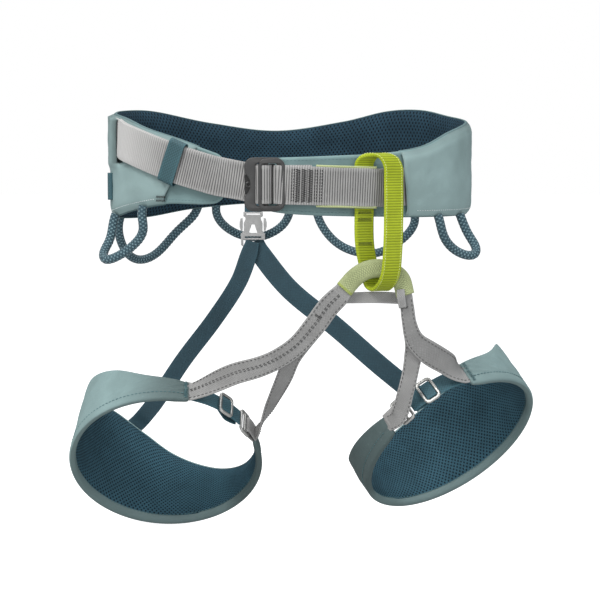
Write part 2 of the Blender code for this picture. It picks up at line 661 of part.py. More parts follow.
ribbon("leg_fork_webbing_left",
       [((112, -95.3, -161), FRONT, 17), ((109, -94.5, -177), FRONT, 15),
        ((105, -94, -196), (-0.1, -1, 0), 15), ((98, -89, -224), (-0.3, -0.9, 0.2), 15)],
       LEG_WEB_T, mat_leg_web)


# ---- rear clip and risers --------------------------------------------------------------
mat_clip = material("clip_plastic", (0.22, 0.24, 0.26), 0.45)
mat_riser = material("riser_elastic", RISER_TEAL, 0.85)
ribbon("riser_tab", [((CLIP_X, CLIP_Y, -39.0), BACK, 17.0), ((CLIP_X, CLIP_Y, -45.8), BACK, 17.0)], 2.0,
       mat_tab, steps=2)
plate("riser_clip", 24.0, 28.0, 4.0,
      [((-4.5, 4.5), (-7.5, 6.0)), ((-15.0, -8.3), (-6.0, 8.6)), ((8.3, 15.0), (-6.0, 8.6)),
       ((-9.5, 9.5), (10.0, 12.2)), ((-9.5, 9.5), (-12.4, -10.2))],
      mat_clip, 1.5, (CLIP_X, CLIP_Y, CLIP_Z), TO_RIGHT, UPWARD)
mat_arm = material("clip_arm_plastic", (0.25, 0.27, 0.29), 0.45)
for tag, side in (("right", -1.0), ("left", 1.0)):
    plate("clip_arm_" + tag, 2.8, 13.4, 3.4, [], mat_arm, 1.2,
          (CLIP_X + side * ARM_SIDE, CLIP_Y, CLIP_Z + 1.3), TO_RIGHT, UPWARD)

ribbon("riser_right",
       [((-42, 98.0, -88), BACK, RISER_W), ((-53, 98.5, -117), BACK, RISER_W),
        ((-77, 99.5, -154), BACK, RISER_W), ((-108, 100.5, -195), BACK, RISER_W),
        ((-136, 101.5, -237), BACK, RISER_W),
        ((-147, 102, -251), BACK, RISER_W)],
       RISER_T, mat_riser)
ribbon("riser_left",
       [((-31, 101.2, -88), BACK, RISER_W), ((-1, 102, -125), BACK, RISER_W),
        ((44, 104.5, -162), BACK, RISER_W), ((87, 107.5, -200), BACK, RISER_W),
        ((118, 110.5, -226), BACK, RISER_W)],
       RISER_T, mat_riser)
RIGHT_PAD_BACK = (-0.545, 0.525, -0.654)     # outward from each pad where its riser is sewn on
LEFT_PAD_BACK = (0.31, 0.80, -0.52)
ribbon("riser_end_right",
       [((-148.2, 102.5, -252.4), BACK, RISER_W),
        ((-153.5, 105.4, -258.5), (-0.25, 0.9, -0.25), RISER_W),
        ((-159.5, 107.2, -264.3), (-0.45, 0.7, -0.5), RISER_W),
        ((-162.5, 104.8, -269.0), RIGHT_PAD_BACK, RISER_W),
        ((-162.3, 98.5, -274.2), RIGHT_PAD_BACK, RISER_W)],
       RISER_T, mat_riser, steps=2)
ribbon("riser_end_left",
       [((119.4, 110.7, -227.2), BACK, RISER_W),
        ((127.5, 112.3, -235.0), (0.1, 0.97, -0.2), RISER_W),
        ((134.6, 112.4, -243.0), (0.25, 0.88, -0.4), RISER_W),
        ((138.6, 108.6, -248.8), LEFT_PAD_BACK, RISER_W),
        ((141.8, 104.4, -253.2), LEFT_PAD_BACK, RISER_W)],
       RISER_T, mat_riser, steps=2)

# ---- leg adjusters -------------------------------------------------------------------
mat_adjust = material("adjuster_elastic", RISER_TEAL, 0.85)
mat_frame = material("adjuster_metal", LIGHT_METAL, 0.35, 1.0)

def link_point(leg, t, lift=0.0):
    """Along the straight link from the pad's front end (t 0) to its inner end (t 1)."""
    first = leg_point(leg, 0.0, 3.0, 0.5)
    last = leg_point(leg, PAD_ARC, 3.0, 0.5)
    return first + (last - first) * t + leg_out(leg, LINK_ARC / 2) * (LINK_BOW * 4 * t * (1 - t) + lift)


for tag, leg in (("right", LEG_RIGHT), ("left", LEG_LEFT)):
    normal = leg_axes(leg)[0]
    out = leg_out(leg, LINK_ARC / 2)
    first = link_point(leg, 0.0)
    along = (link_point(leg, 1.0) - first).normalized()
    facing = tuple(out)
    ribbon("leg_adjuster_strap_" + tag,
           [(tuple(link_point(leg, t, lift)), facing, 18.0)
            for t, lift in ((0.06, -2.0), (0.25, -0.5), (0.45, 0.0), (0.62, 0.0), (0.68, 0.0))],
           1.3, mat_adjust)
    tape_ring("leg_strap_ring_" + tag, link_point(leg, 0.45), normal, out, 12.0, 3.4, 3.0, along, 2.2,
              mat_frame, sides=4)
    slope = (link_point(leg, 0.92) - link_point(leg, 0.70)).normalized()
    plate("leg_ladder_lock_" + tag, 15.0, 27.0, 2.4,
          [((-5.0, -1.2), (-10.5, 10.5)), ((1.2, 5.0), (-10.5, 10.5))],
          mat_frame, 3.0, tuple(link_point(leg, 0.80)), tuple(slope), tuple(normal))
    bar = link_point(leg, 0.80) + slope * 6.3
    wrap = [(bar + slope * 11.0 + out * 1.7, out), (bar + slope * 4.0 + out * 2.3, out),
            (bar - slope * 0.8 + out * 2.4, out), (bar - slope * 2.6 + out * 1.8, out - slope),
            (bar - slope * 3.3, -slope), (bar - slope * 2.6 - out * 1.8, -out - slope),
            (bar - slope * 0.8 - out * 2.4, -out), (bar + slope * 4.0 - out * 2.3, -out),
            (bar + slope * 11.0 - out * 1.7, -out)]
    ribbon("leg_buckle_loop_" + tag, [(tuple(p), tuple(f), 18.0) for p, f in wrap], 1.3,
           mat_leg_web, steps=1)

# ---- move everything to the frame's origin -------------------------------------------
for obj in bpy.data.objects:
    obj.location -= Vector(BOX_MIDDLE) * MM
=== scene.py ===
"""Climbing sit harness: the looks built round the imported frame. Lengths in the helpers are millimetres."""
import math

import bmesh
import bpy
import numpy as np
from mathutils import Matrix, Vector, noise


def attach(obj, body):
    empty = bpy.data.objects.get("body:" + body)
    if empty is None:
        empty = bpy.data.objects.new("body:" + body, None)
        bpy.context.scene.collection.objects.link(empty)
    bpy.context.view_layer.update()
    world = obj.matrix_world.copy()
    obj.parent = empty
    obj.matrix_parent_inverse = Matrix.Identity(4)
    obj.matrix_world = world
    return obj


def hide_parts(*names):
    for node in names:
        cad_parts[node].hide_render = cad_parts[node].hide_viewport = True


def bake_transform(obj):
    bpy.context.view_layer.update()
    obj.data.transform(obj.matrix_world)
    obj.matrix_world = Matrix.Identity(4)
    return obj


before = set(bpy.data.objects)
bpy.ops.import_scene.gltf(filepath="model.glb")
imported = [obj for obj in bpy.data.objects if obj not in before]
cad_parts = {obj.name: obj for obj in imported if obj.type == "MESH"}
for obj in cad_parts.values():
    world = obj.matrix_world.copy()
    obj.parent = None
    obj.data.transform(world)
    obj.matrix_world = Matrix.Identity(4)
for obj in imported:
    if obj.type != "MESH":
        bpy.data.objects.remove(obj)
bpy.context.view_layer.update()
MM = 0.001

# ---- belt and leg shape, as in the frame: (degrees, millimetres) pairs ----
RING_A, RING_B = 158.0, 102.0
BELT_TOP = [(-9, 14.5), (12, 16.5), (30, 18.5), (46, 23.5), (62, 36), (82, 43), (113, 48.5),
            (130, 54), (145, 52.5), (162, 42), (185, 33), (208, 40.5), (234, 52.7),
            (255, 54), (275, 52), (293, 48.5), (308, 39.5), (322, 31), (335, 20), (340, 15)]
BELT_BOTTOM = [(-9, -32), (0, -35.5), (20, -38), (60, -40.5), (90, -41.5), (112, -44),
               (135, -48.5), (165, -44), (190, -38), (215, -42), (240, -48.5), (280, -43),
               (300, -35), (318, -28), (335, -27), (340, -22)]
PAD_START, PAD_END = 12.0, 326.0
BELT_START, BELT_END = -9.0, 340.0
SHELL_START, SHELL_END, SHELL_SLANT = 36.5, 320.0, 14.0
SLOT_LOW, SLOT_HIGH = 0.53, 0.985                # the strap's slot, as shares of the belt's height
LIP_START, SLOT_REAR, SLOT_FRONT = 262.0, 290.0, 294.0
HOME = np.array((10.9, -0.4, -146.5))     # the frame's origin, seen from the middle of the waist ring
LEG_R, PAD_ARC, PAD_FOOT = 91.0, 303.0, 3.6
PAD_WIDTH = [(0, 24), (26, 33), (50, 54), (75, 72), (100, 85), (125, 93), (150, 94),
             (175, 84), (195, 72), (215, 58), (235, 45), (255, 35), (275, 28), (303, 19)]
PAD_WIDTH_RIGHT = [(0, 24), (26, 33), (50, 54), (75, 72), (100, 87), (125, 100), (150, 108),
                   (175, 98), (195, 80), (215, 63), (235, 47), (255, 35), (275, 28), (303, 19)]
LEGS = {"right": {"centre": (-118.7, -20.0, -276.0), "normal": (0.0, 0.78, 0.626),
                  "start": 74.0, "turn": 1.0, "lean": 0.13, "width": PAD_WIDTH_RIGHT},
        "left": {"centre": (150.7, -20.0, -257.9), "normal": (-0.461, 0.601, 0.652),
                 "start": 105.0, "turn": -1.0, "lean": 0.0, "width": PAD_WIDTH}}
LOAD_MID, TAIL_MID, TIE_MID = 14.6, 17.0, 17.6   # the strap layers' distance from the inner face
STRAP_W = 34.4
FINE_STEP = 0.25                                 # the spacing at which a path is measured
BUCKLE = (-23.0, -120.0, -8.5)
CLIP = (-38.0, 99.0, -60.5)
FRONT, BACK, LEFT, RIGHT = (0, -1, 0), (0, 1, 0), (-1, 0, 0), (1, 0, 0)


# ---- small maths ----
def unit(v):
    v = np.asarray(v, float)
    return v / np.maximum(np.linalg.norm(v, axis=-1, keepdims=True), 1e-9)


def metres(points):
    """From millimetres about the waist ring's middle to metres in the frame."""
    return (np.asarray(points, float) - HOME) * MM


def ease(t):
    t = np.clip(t, 0.0, 1.0)
    return t * t * (3 - 2 * t)


def hermite(xs, ys, x):
    """Smooth curve through (xs, ys), rows of ys, at the points x."""
    xs, ys, x = np.asarray(xs, float), np.asarray(ys, float), np.asarray(x, float)
    slope = np.empty_like(ys)
    gap = np.diff(xs)
    slope[1:-1] = (ys[2:] - ys[:-2]) / (xs[2:] - xs[:-2]).reshape((-1,) + (1,) * (ys.ndim - 1))
    slope[0] = (ys[1] - ys[0]) / gap[0]
    slope[-1] = (ys[-1] - ys[-2]) / gap[-1]
    i = np.clip(np.searchsorted(xs, x, side="right") - 1, 0, len(xs) - 2)
    h = gap[i]
    t = np.clip((x - xs[i]) / h, 0, 1)
    if ys.ndim > 1:
        h, t = h[:, None], t[:, None]
    return ((2 * t ** 3 - 3 * t ** 2 + 1) * ys[i] + (t ** 3 - 2 * t ** 2 + t) * h * slope[i]
            + (3 * t ** 2 - 2 * t ** 3) * ys[i + 1] + (t ** 3 - t ** 2) * h * slope[i + 1])


def table(pairs, x):
    return hermite([p[0] for p in pairs], [p[1] for p in pairs], x)


def at_angle(pairs, angle):
    return table(pairs, [angle])[0]


def run_along(points):
    """Length along a line at each of its points."""
    return np.append(0, np.cumsum(np.linalg.norm(np.diff(points, axis=0), axis=1)))


def follow(at, run, rows):
    """The columns of rows, read at the lengths at."""
    return np.stack([np.interp(at, run, rows[:, c]) for c in range(rows.shape[1])], -1)


def bell(x, middle, spread):
    return np.exp(-((x - middle) / spread) ** 2)


def ring(angle, mid, z):
    """Points round the waist ring, mid millimetres outside its inner face."""
    turn = np.radians(angle)
    return np.stack([(RING_A + mid) * np.sin(turn), -(RING_B + mid) * np.cos(turn),
                     z + 0 * turn], -1)


def ring_out(angle):
    """Outward directions of the waist ring."""
    turn = np.radians(angle)
    return unit(np.stack([np.sin(turn) / RING_A, -np.cos(turn) / RING_B, 0 * turn], -1))


def fold(p, scale, seed=0.0):
    """Soft random height at a point, the same each run."""
    return noise.noise(Vector((p[0] / scale + seed, p[1] / scale, p[2] / scale)))


# ---- meshes ----
def add_object(name, data):
    obj = bpy.data.objects.new(name, data)
    bpy.context.scene.collection.objects.link(obj)
    return obj


def clean(mesh, weld=0.0):
    """Turn the faces outwards, after joining points closer than weld metres."""
    bm = bmesh.new()
    bm.from_mesh(mesh)
    if weld:
        bmesh.ops.remove_doubles(bm, verts=bm.verts, dist=weld)
    bmesh.ops.recalc_face_normals(bm, faces=bm.faces)
    bm.to_mesh(mesh)
    bm.free()
    mesh.polygons.foreach_set("use_smooth", [True] * len(mesh.polygons))


def grid_mesh(name, points, u, v, mats, wrap_u=False, wrap_v=False, caps=False, slot_of=None,
              hole=None, edge=None):
    """Skin over a grid of points (rows, columns, 3) in millimetres, with a UV map in millimetres."""
    nu, nv = points.shape[:2]
    verts = [tuple(p) for p in metres(points.reshape(-1, 3))]
    faces, uvs, slots = [], [], []
    for i in range(nu if wrap_u else nu - 1):
        for j in range(nv if wrap_v else nv - 1):
            if hole and hole(i, j):
                continue
            i2, j2 = (i + 1) % nu, (j + 1) % nv
            faces.append((i * nv + j, i2 * nv + j, i2 * nv + j2, i * nv + j2))
            uvs += [(u[i], v[j]), (u[i + 1], v[j]), (u[i + 1], v[j + 1]), (u[i], v[j + 1])]
            slots.append(slot_of(i, j) if slot_of else 0)
    if caps:
        for i in (0, nu - 1):
            centre = len(verts)
            verts.append(tuple(metres(points[i].mean(0))))
            for j in range(nv):
                j2 = (j + 1) % nv
                face = (i * nv + j, i * nv + j2, centre)
                faces.append(face if i == 0 else face[::-1])
                uvs += [(u[i], v[j])] * 3
                slots.append(slot_of(min(i, nu - 2), j) if slot_of else 0)
    mesh = bpy.data.meshes.new(name)
    mesh.from_pydata(verts, [], faces)
    layer = mesh.uv_layers.new(name="UVMap")
    layer.data.foreach_set("uv", np.array(uvs, np.float32).ravel())
    mesh.polygons.foreach_set("material_index", slots)
    # The edge attribute: above 0 it marks a strap's worn edges, below 0 it holds painted shade.
    if edge is not None:
        values = np.zeros(len(verts), np.float32)
        values[:nu * nv] = np.broadcast_to(edge, (nu, nv)).ravel()
        mesh.attributes.new("edge", "FLOAT", "POINT").data.foreach_set("value", values)
    mesh.update()
    for mat in mats:
        mesh.materials.append(mat)
    clean(mesh)
    return add_object(name, mesh)


def place(obj, body, slot, *nodes):
    """Hide the nodes the piece stands for, and tie it to the body named by body; for any other body only bake
    its transform. The slot is not used.
    """
    if nodes:
        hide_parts(*nodes)
    if isinstance(body, str):
        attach(obj, body)
    else:
        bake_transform(obj)
    return obj


def sample(stations, step, closed=False):
    """Even samples along stations of (centre, facing, width).

    The path holds centres c, directions along t, across a and outward o, widths w and lengths u.
    """
    rows = np.array([[*c, *f, w] for c, f, w in stations], float)
    if closed:
        rows = np.vstack([rows[-3:], rows, rows[:4]])
    chord = run_along(rows[:, :3])
    low, high = (chord[3], chord[len(rows) - 4]) if closed else (0.0, chord[-1])
    fine = hermite(chord, rows, np.linspace(low, high, int((high - low) / FINE_STEP) + 8))
    run = run_along(fine[:, :3])
    count = max(int(round(run[-1] / step)), 4)
    at = np.linspace(0, run[-1], count + 1)
    if closed:
        at = at[:-1]
    rows = follow(at, run, fine)
    centre = rows[:, :3]
    if closed:
        along = unit(np.roll(centre, -1, 0) - np.roll(centre, 1, 0))
    else:
        along = unit(np.gradient(centre, axis=0))
    across = unit(np.cross(along, rows[:, 3:6]))
    out = unit(np.cross(across, along))
    return {"c": centre, "t": along, "a": across, "o": out, "w": rows[:, 6], "u": at, "len": run[-1]}


def soften(path, rounds):
    """Ease the bends of a sampled path."""
    c = path["c"].copy()
    for _ in range(rounds):
        c[1:-1] = (c[:-2] + 2 * c[1:-1] + c[2:]) / 4
    t = unit(np.gradient(c, axis=0))
    a = unit(np.cross(t, path["o"]))
    return {**path, "c": c, "t": t, "a": a, "o": unit(np.cross(a, t))}


def tape(name, path, thick, mat, rib=0.0, pitch=2.2, columns=10, closed=False, crown=0.0, slack=0.0):
    """Flat webbing with rounded edges and raised ribs across it; slack is its soft random lift."""
    half = thick / 2
    turn = np.radians([65, 30, 0, -30, -65])
    flat = np.linspace(-1, 1, columns)
    y = np.concatenate([flat, np.full(5, 1.0), flat[::-1], np.full(5, -1.0)])
    dy = np.concatenate([0 * flat, np.cos(turn), 0 * flat, -np.cos(turn[::-1])])
    z = np.concatenate([0 * flat + 1, np.sin(turn), 0 * flat - 1, np.sin(turn[::-1])])
    wide = path["w"][:, None] / 2 - half
    ribs = rib * (np.abs(np.cos(math.pi * path["u"] / pitch)) ** 0.8 - 0.6)
    inner = np.clip(1.15 - np.abs(y) ** 8, 0.15, 1.0)
    lift = z[None, :] * (half + ribs[:, None] * inner[None, :])
    lift = lift + crown * (1 - y[None, :] ** 2)
    if slack:
        wave = np.array([[fold(p, 16.0, s) for s in (3.0, 9.0)] for p in path["c"]])
        lift = lift + slack * (wave[:, :1] + wave[:, 1:] * y[None, :])
    side = y[None, :] * wide + dy[None, :] * half
    points = (path["c"][:, None, :] + path["a"][:, None, :] * side[..., None]
              + path["o"][:, None, :] * lift[..., None])
    u = np.append(path["u"], path["len"]) if closed else path["u"]
    v = np.concatenate([(y + 1) * path["w"].mean() / 2 + dy * half, [0.0]])
    return grid_mesh(name, points, u, v, [mat], wrap_u=closed, wrap_v=True, caps=not closed,
                     edge=(np.abs(y) > 0.93).astype(float)[None, :])


class Thread:
    """Sewing thread gathered into one mesh."""

    def __init__(self):
        self.verts, self.faces = [], []

    def tube(self, points, radius, sides=5):
        """A closed round tube along the points."""
        points = np.asarray(points, float)
        along = unit(np.gradient(points, axis=0))
        first = unit(np.cross(along, np.where(np.abs(along[:, 2:]) > 0.9, [[1.0, 0, 0]], [[0, 0, 1.0]])))
        second = np.cross(along, first)
        start = len(self.verts)
        turn = np.arange(sides) * 2 * math.pi / sides
        rings = (points[:, None] + radius * (first[:, None] * np.cos(turn)[None, :, None]
                                             + second[:, None] * np.sin(turn)[None, :, None]))
        self.verts += [tuple(p) for p in metres(rings.reshape(-1, 3))]
        n = len(points)
        for i in range(n - 1):
            for j in range(sides):
                a, b = start + i * sides + j, start + i * sides + (j + 1) % sides
                self.faces.append((a, b, b + sides, a + sides))
        self.faces.append(tuple(start + j for j in range(sides))[::-1])
        self.faces.append(tuple(start + (n - 1) * sides + j for j in range(sides)))

    def row(self, points, outs, stitch=2.3, gap=1.0, radius=0.28, sink=0.15):
        """Running stitches along a line, each dash a low arch."""
        points, outs = np.asarray(points, float), np.asarray(outs, float)
        run = run_along(points)
        at = 0.4
        while at + stitch < run[-1]:
            s = np.linspace(at, at + stitch, 4)
            arch = np.array([-sink, radius * 0.6, radius * 0.6, -sink])[:, None]
            self.tube(follow(s, run, points) + follow(s, run, outs) * arch, radius, 4)
            at += stitch + gap

    def build(self, name, mat):
        mesh = bpy.data.meshes.new(name)
        mesh.from_pydata(self.verts, [], self.faces)
        mesh.materials.append(mat)
        clean(mesh)
        return add_object(name, mesh)


def on_strap(path, share, side, thick, first=0.0, last=1.0):
    """Points and outward directions on a strap's face, share -1..1 across it."""
    n = len(path["c"])
    pick = slice(int(first * (n - 1)), int(last * (n - 1)) + 1)
    out = path["o"][pick] * side
    return (path["c"][pick] + path["a"][pick] * (path["w"][pick] / 2 * share)[:, None]
            + out * thick / 2, out)


# ---- materials ----
class Shader:
    """A Principled material with a few shorthand node makers."""

    def __init__(self, name, rough, metallic=0.0, sheen=0.0):
        self.mat = bpy.data.materials.new(name)
        self.mat.use_nodes = True
        self.tree = self.mat.node_tree
        self.bsdf = self.tree.nodes["Principled BSDF"]
        self.bsdf.inputs["Roughness"].default_value = rough
        self.bsdf.inputs["Metallic"].default_value = metallic
        if sheen:
            self.bsdf.inputs["Sheen Weight"].default_value = sheen
            self.bsdf.inputs["Sheen Roughness"].default_value = 0.45
        self.uv = self.node("ShaderNodeUVMap").outputs["UV"]
        self.pos = self.node("ShaderNodeTexCoord").outputs["Object"]
        split = self.node("ShaderNodeSeparateXYZ")
        self.link(self.uv, split.inputs[0])
        self.u, self.v = split.outputs["X"], split.outputs["Y"]

    def node(self, kind, **values):
        made = self.tree.nodes.new(kind)
        for key, value in values.items():
            setattr(made, key, value)
        return made

    def link(self, source, target):
        self.tree.links.new(source, target)

    def put(self, value, socket):
        if isinstance(value, bpy.types.NodeSocket):
            self.link(value, socket)
        else:
            socket.default_value = value

    def math(self, kind, *values):
        made = self.node("ShaderNodeMath", operation=kind)
        for value, socket in zip(values, made.inputs):
            self.put(value, socket)
        return made.outputs[0]

    def times(self, a, b):
        return self.math("MULTIPLY", a, b)

    def noise(self, size, detail=2.0):
        """Soft noise whose features are about size millimetres."""
        made = self.node("ShaderNodeTexNoise")
        self.link(self.pos, made.inputs["Vector"])
        made.inputs["Scale"].default_value = 1000.0 / size
        made.inputs["Detail"].default_value = detail
        made.inputs["Roughness"].default_value = 0.55
        return made.outputs["Fac"]

    def wave(self, coord, period, power=1.0):
        """Ribs: 0 in a groove, 1 on a ridge."""
        value = self.math("ABSOLUTE", self.math("COSINE", self.times(coord, math.pi / period)))
        return self.math("POWER", value, power) if power != 1.0 else value

    def span(self, value, low, high, to_low=0.0, to_high=1.0):
        made = self.node("ShaderNodeMapRange")
        self.put(value, made.inputs["Value"])
        for name, number in (("From Min", low), ("From Max", high), ("To Min", to_low), ("To Max", to_high)):
            made.inputs[name].default_value = number
        return made.outputs[0]

    def mix(self, share, a, b):
        made = self.node("ShaderNodeMix", data_type="RGBA")
        self.put(share, made.inputs[0])
        for value, socket in ((a, made.inputs[6]), (b, made.inputs[7])):
            self.put(value if isinstance(value, bpy.types.NodeSocket) else (*value, 1.0), socket)
        return made.outputs[2]

    def attribute(self, name):
        return self.node("ShaderNodeAttribute", attribute_name=name).outputs["Fac"]

    def bump(self, height, strength, distance, under=None):
        made = self.node("ShaderNodeBump")
        made.inputs["Strength"].default_value = strength
        made.inputs["Distance"].default_value = distance * MM
        self.link(height, made.inputs["Height"])
        if under is not None:
            self.link(under, made.inputs["Normal"])
        return made.outputs[0]

    def done(self, colour, normal=None, rough=None):
        self.put(colour if isinstance(colour, bpy.types.NodeSocket) else (*colour, 1.0),
                 self.bsdf.inputs["Base Color"])
        if normal is not None:
            self.link(normal, self.bsdf.inputs["Normal"])
        if rough is not None:
            self.link(rough, self.bsdf.inputs["Roughness"])
        return self.mat


def tint(colour, factor):
    return tuple(min(c * factor, 1.0) for c in colour)


def shell_fabric(name, colour):
    """Plain woven nylon: fine weave, soft puckers, paler worn high spots, and painted shade where its edge
    attribute is below 0.
    """
    s = Shader(name, 0.78)
    s.bsdf.inputs["Specular IOR Level"].default_value = 0.3
    weave = s.times(s.wave(s.u, 0.9), s.wave(s.v, 0.9))
    broad = s.noise(38.0, 2.0)
    fine = s.noise(1.6, 3.0)
    base = s.mix(s.span(broad, 0.3, 0.7), tint(colour, 0.88), tint(colour, 1.1))
    base = s.mix(s.span(weave, 0.0, 1.0, 0.16, 0.0), base, tint(colour, 0.5))
    # Painted shade: where the edge attribute is below 0 the cloth is painted darker.
    base = s.mix(s.span(s.attribute("edge"), -1.0, 0.0, 1.0, 0.0), base, tint(colour, 0.26))
    base = s.mix(s.span(fine, 0.62, 0.8, 0.0, 0.25), base, tint(colour, 1.3))
    soft = s.bump(s.noise(14.0, 2.0), 0.6, 1.4)
    normal = s.bump(s.math("ADD", weave, s.times(fine, 0.6)), 0.35, 0.12, soft)
    return s.done(base, normal, s.span(fine, 0.3, 0.7, 0.64, 0.82))


def spacer_mesh(name, colour, pitch=3.7, row=2.7):
    """Knitted spacer mesh with staggered oval holes."""
    s = Shader(name, 0.9)
    s.bsdf.inputs["Specular IOR Level"].default_value = 0.2
    across = s.math("COSINE", s.times(s.u, 2 * math.pi / pitch))
    down = s.math("COSINE", s.times(s.v, math.pi / row))
    hole = s.span(s.times(across, down), 0.15, 0.62)
    knit = s.times(s.wave(s.u, 0.95), s.wave(s.v, 0.7))
    fuzz = s.noise(1.2, 3.0)
    base = s.mix(s.span(s.noise(30.0), 0.35, 0.65), tint(colour, 0.85), tint(colour, 1.15))
    base = s.mix(s.span(knit, 0.2, 0.9, 0.35, 0.0), base, tint(colour, 0.45))
    base = s.mix(s.span(fuzz, 0.55, 0.75, 0.0, 0.3), base, tint(colour, 2.2))
    base = s.mix(hole, base, tint(colour, 0.12))
    height = s.math("SUBTRACT", s.times(knit, 0.3), s.times(hole, 1.2))
    return s.done(base, s.bump(height, 0.8, 0.5))


PAINTED_LIGHT_X = (-0.165, -0.115)     # the strap's left part, which faces the lamps, painted paler as painted light, in the frame's x


def webbing(name, colour, pitch, rib, rough=0.62, shine=0.2, dark=0.5, painted_light=0.0):
    """Woven webbing: ribs across the strap, fine warp threads along it, fuzzy pale edges."""
    s = Shader(name, rough, sheen=shine)
    s.bsdf.inputs["Specular IOR Level"].default_value = 0.25
    ridge = s.wave(s.u, pitch, 0.8)
    warp = s.wave(s.v, 0.75)
    fuzz = s.noise(1.1, 3.0)
    base = s.mix(s.span(s.noise(18.0), 0.35, 0.65), tint(colour, 0.92), tint(colour, 1.08))
    base = s.mix(s.span(ridge, 0.2, 0.95, rib, 0.0), base, tint(colour, dark))
    # Painted light: the strap is painted paler towards its left part, which faces the lamps.
    if painted_light:
        where = s.node("ShaderNodeSeparateXYZ")
        s.link(s.pos, where.inputs[0])
        base = s.mix(s.span(where.outputs["X"], *PAINTED_LIGHT_X, painted_light, 0.0), base, tint(colour, 1.9))
    base = s.mix(s.span(warp, 0.0, 0.6, 0.16, 0.0), base, tint(colour, 0.5))
    base = s.mix(s.span(fuzz, 0.58, 0.78, 0.0, 0.3), base, tint(colour, 1.35))
    base = s.mix(s.times(s.attribute("edge"), s.span(fuzz, 0.3, 0.6, 0.2, 0.5)), base,
                 tint(colour, 1.3))
    height = s.math("ADD", s.times(ridge, 0.8), s.times(warp, 0.35))
    height = s.math("ADD", height, s.times(fuzz, 0.3))
    return s.done(base, s.bump(height, 0.5, 0.25))


def flat_tape(name, colour, grain, shine=0.15, depth=0.3):
    """Smooth narrow tape or elastic with a diagonal weave."""
    s = Shader(name, 0.7, sheen=shine)
    one = s.wave(s.math("ADD", s.u, s.v), grain)
    two = s.wave(s.math("SUBTRACT", s.u, s.v), grain)
    weave = s.times(one, two)
    fuzz = s.noise(1.3, 3.0)
    base = s.mix(s.span(s.noise(22.0), 0.35, 0.65), tint(colour, 0.9), tint(colour, 1.1))
    base = s.mix(s.span(weave, 0.0, 0.7, depth, 0.0), base, tint(colour, 0.4))
    base = s.mix(s.span(fuzz, 0.55, 0.75, 0.0, 0.35), base, tint(colour, 1.7))
    base = s.mix(s.times(s.attribute("edge"), 0.35), base, tint(colour, 1.35))
    height = s.math("ADD", weave, s.times(fuzz, 0.5))
    return s.done(base, s.bump(height, 0.45, 0.2))


FLECK, FLECK_TURNS = 3.7, 10 * math.pi      # the braid's repeat along the cord and round it
CORD_R = 4.2
CORD_GIRTH = 2 * math.pi * CORD_R


def braid(name, dark, light):
    """Braided sheath: crossing bundles, some of them in a paler yarn."""
    s = Shader(name, 0.72, sheen=0.3)
    cell = s.times(s.math("COSINE", s.times(s.u, 2 * math.pi / FLECK)),
                  s.math("COSINE", s.times(s.v, FLECK_TURNS / CORD_GIRTH)))
    fuzz = s.noise(1.0, 3.0)
    fleck = s.math("ADD", cell, s.times(s.math("SUBTRACT", fuzz, 0.5), 1.2))
    base = s.mix(s.span(fleck, 0.15, 0.6), dark, light)
    base = s.mix(s.span(s.noise(20.0), 0.35, 0.65, 0.0, 0.35), base, tint(dark, 0.8))
    return s.done(base, s.bump(s.math("ADD", cell, fuzz), 0.5, 0.35))


def solid(name, colour, rough, metallic=0.0, wear=0.15):
    """Metal or moulded plastic: fine grain, faint scuffs, and a painted highlight on convex edges."""
    s = Shader(name, rough, metallic)
    scuff = s.noise(3.0, 4.0)
    base = s.mix(s.span(s.noise(9.0), 0.3, 0.7), tint(colour, 0.9), tint(colour, 1.1))
    base = s.mix(s.span(scuff, 0.62, 0.75, 0.0, wear), base, tint(colour, 2.2))
    # Painted highlight: convex edges, found by pointiness, are painted paler; wear sets its strength as well
    # as the scuffs'.
    point = s.node("ShaderNodeNewGeometry").outputs["Pointiness"]
    base = s.mix(s.span(point, 0.52, 0.6, 0.0, wear * 3), base, tint(colour, 2.6))
    return s.done(base, s.bump(scuff, 0.12, 0.1), s.span(scuff, 0.3, 0.7, rough * 0.85, rough * 1.25))


SHELL = (0.285, 0.395, 0.395)
MESH = (0.021, 0.053, 0.080)
LEG_MESH = (0.042, 0.108, 0.148)
GREY = (0.33, 0.327, 0.323)
LEG_GREY = (0.285, 0.283, 0.28)
LIME = (0.335, 0.41, 0.012)
PALE = (0.40, 0.45, 0.22)
TEAL = (0.026, 0.072, 0.098)
KEEPER = (0.040, 0.105, 0.125)

m_shell = shell_fabric("shell_fabric_woven", SHELL)
# Painted shade: a darker copy of the shell fabric for the belt's rolled rims.
m_shaded_rim = shell_fabric("shell_fabric_rim_painted_shade", (0.115, 0.185, 0.195))
m_leg_shell = shell_fabric("leg_shell_fabric", (0.262, 0.375, 0.378))
m_tongue = shell_fabric("tongue_fabric", (0.19, 0.29, 0.295))
m_mesh = spacer_mesh("spacer_mesh_belt", MESH)
m_leg_mesh = spacer_mesh("spacer_mesh_leg", LEG_MESH, 4.1, 2.5)
m_strap = webbing("waist_webbing_ribbed", GREY, 2.3, 1.0, dark=0.16, painted_light=0.8)
m_leg = flat_tape("leg_tape", LEG_GREY, 2.2, depth=0.45)
m_lime = webbing("belay_webbing", LIME, 2.4, 0.85, 0.5, 0.1, 0.4)
m_pale = flat_tape("pale_sleeve_weave", PALE, 2.2, depth=0.8)
m_hem = flat_tape("sleeve_hem", (0.33, 0.39, 0.10), 1.0)
m_teal = flat_tape("elastic_teal", TEAL, 2.4, shine=0.05, depth=0.5)
m_keeper = flat_tape("keeper_weave", KEEPER, 3.1, shine=0.05, depth=0.8)
m_adjust = flat_tape("adjuster_weave", (0.034, 0.105, 0.135), 3.0, shine=0.05, depth=0.7)
m_braid = braid("cord_braid", (0.024, 0.066, 0.090), (0.19, 0.31, 0.35))
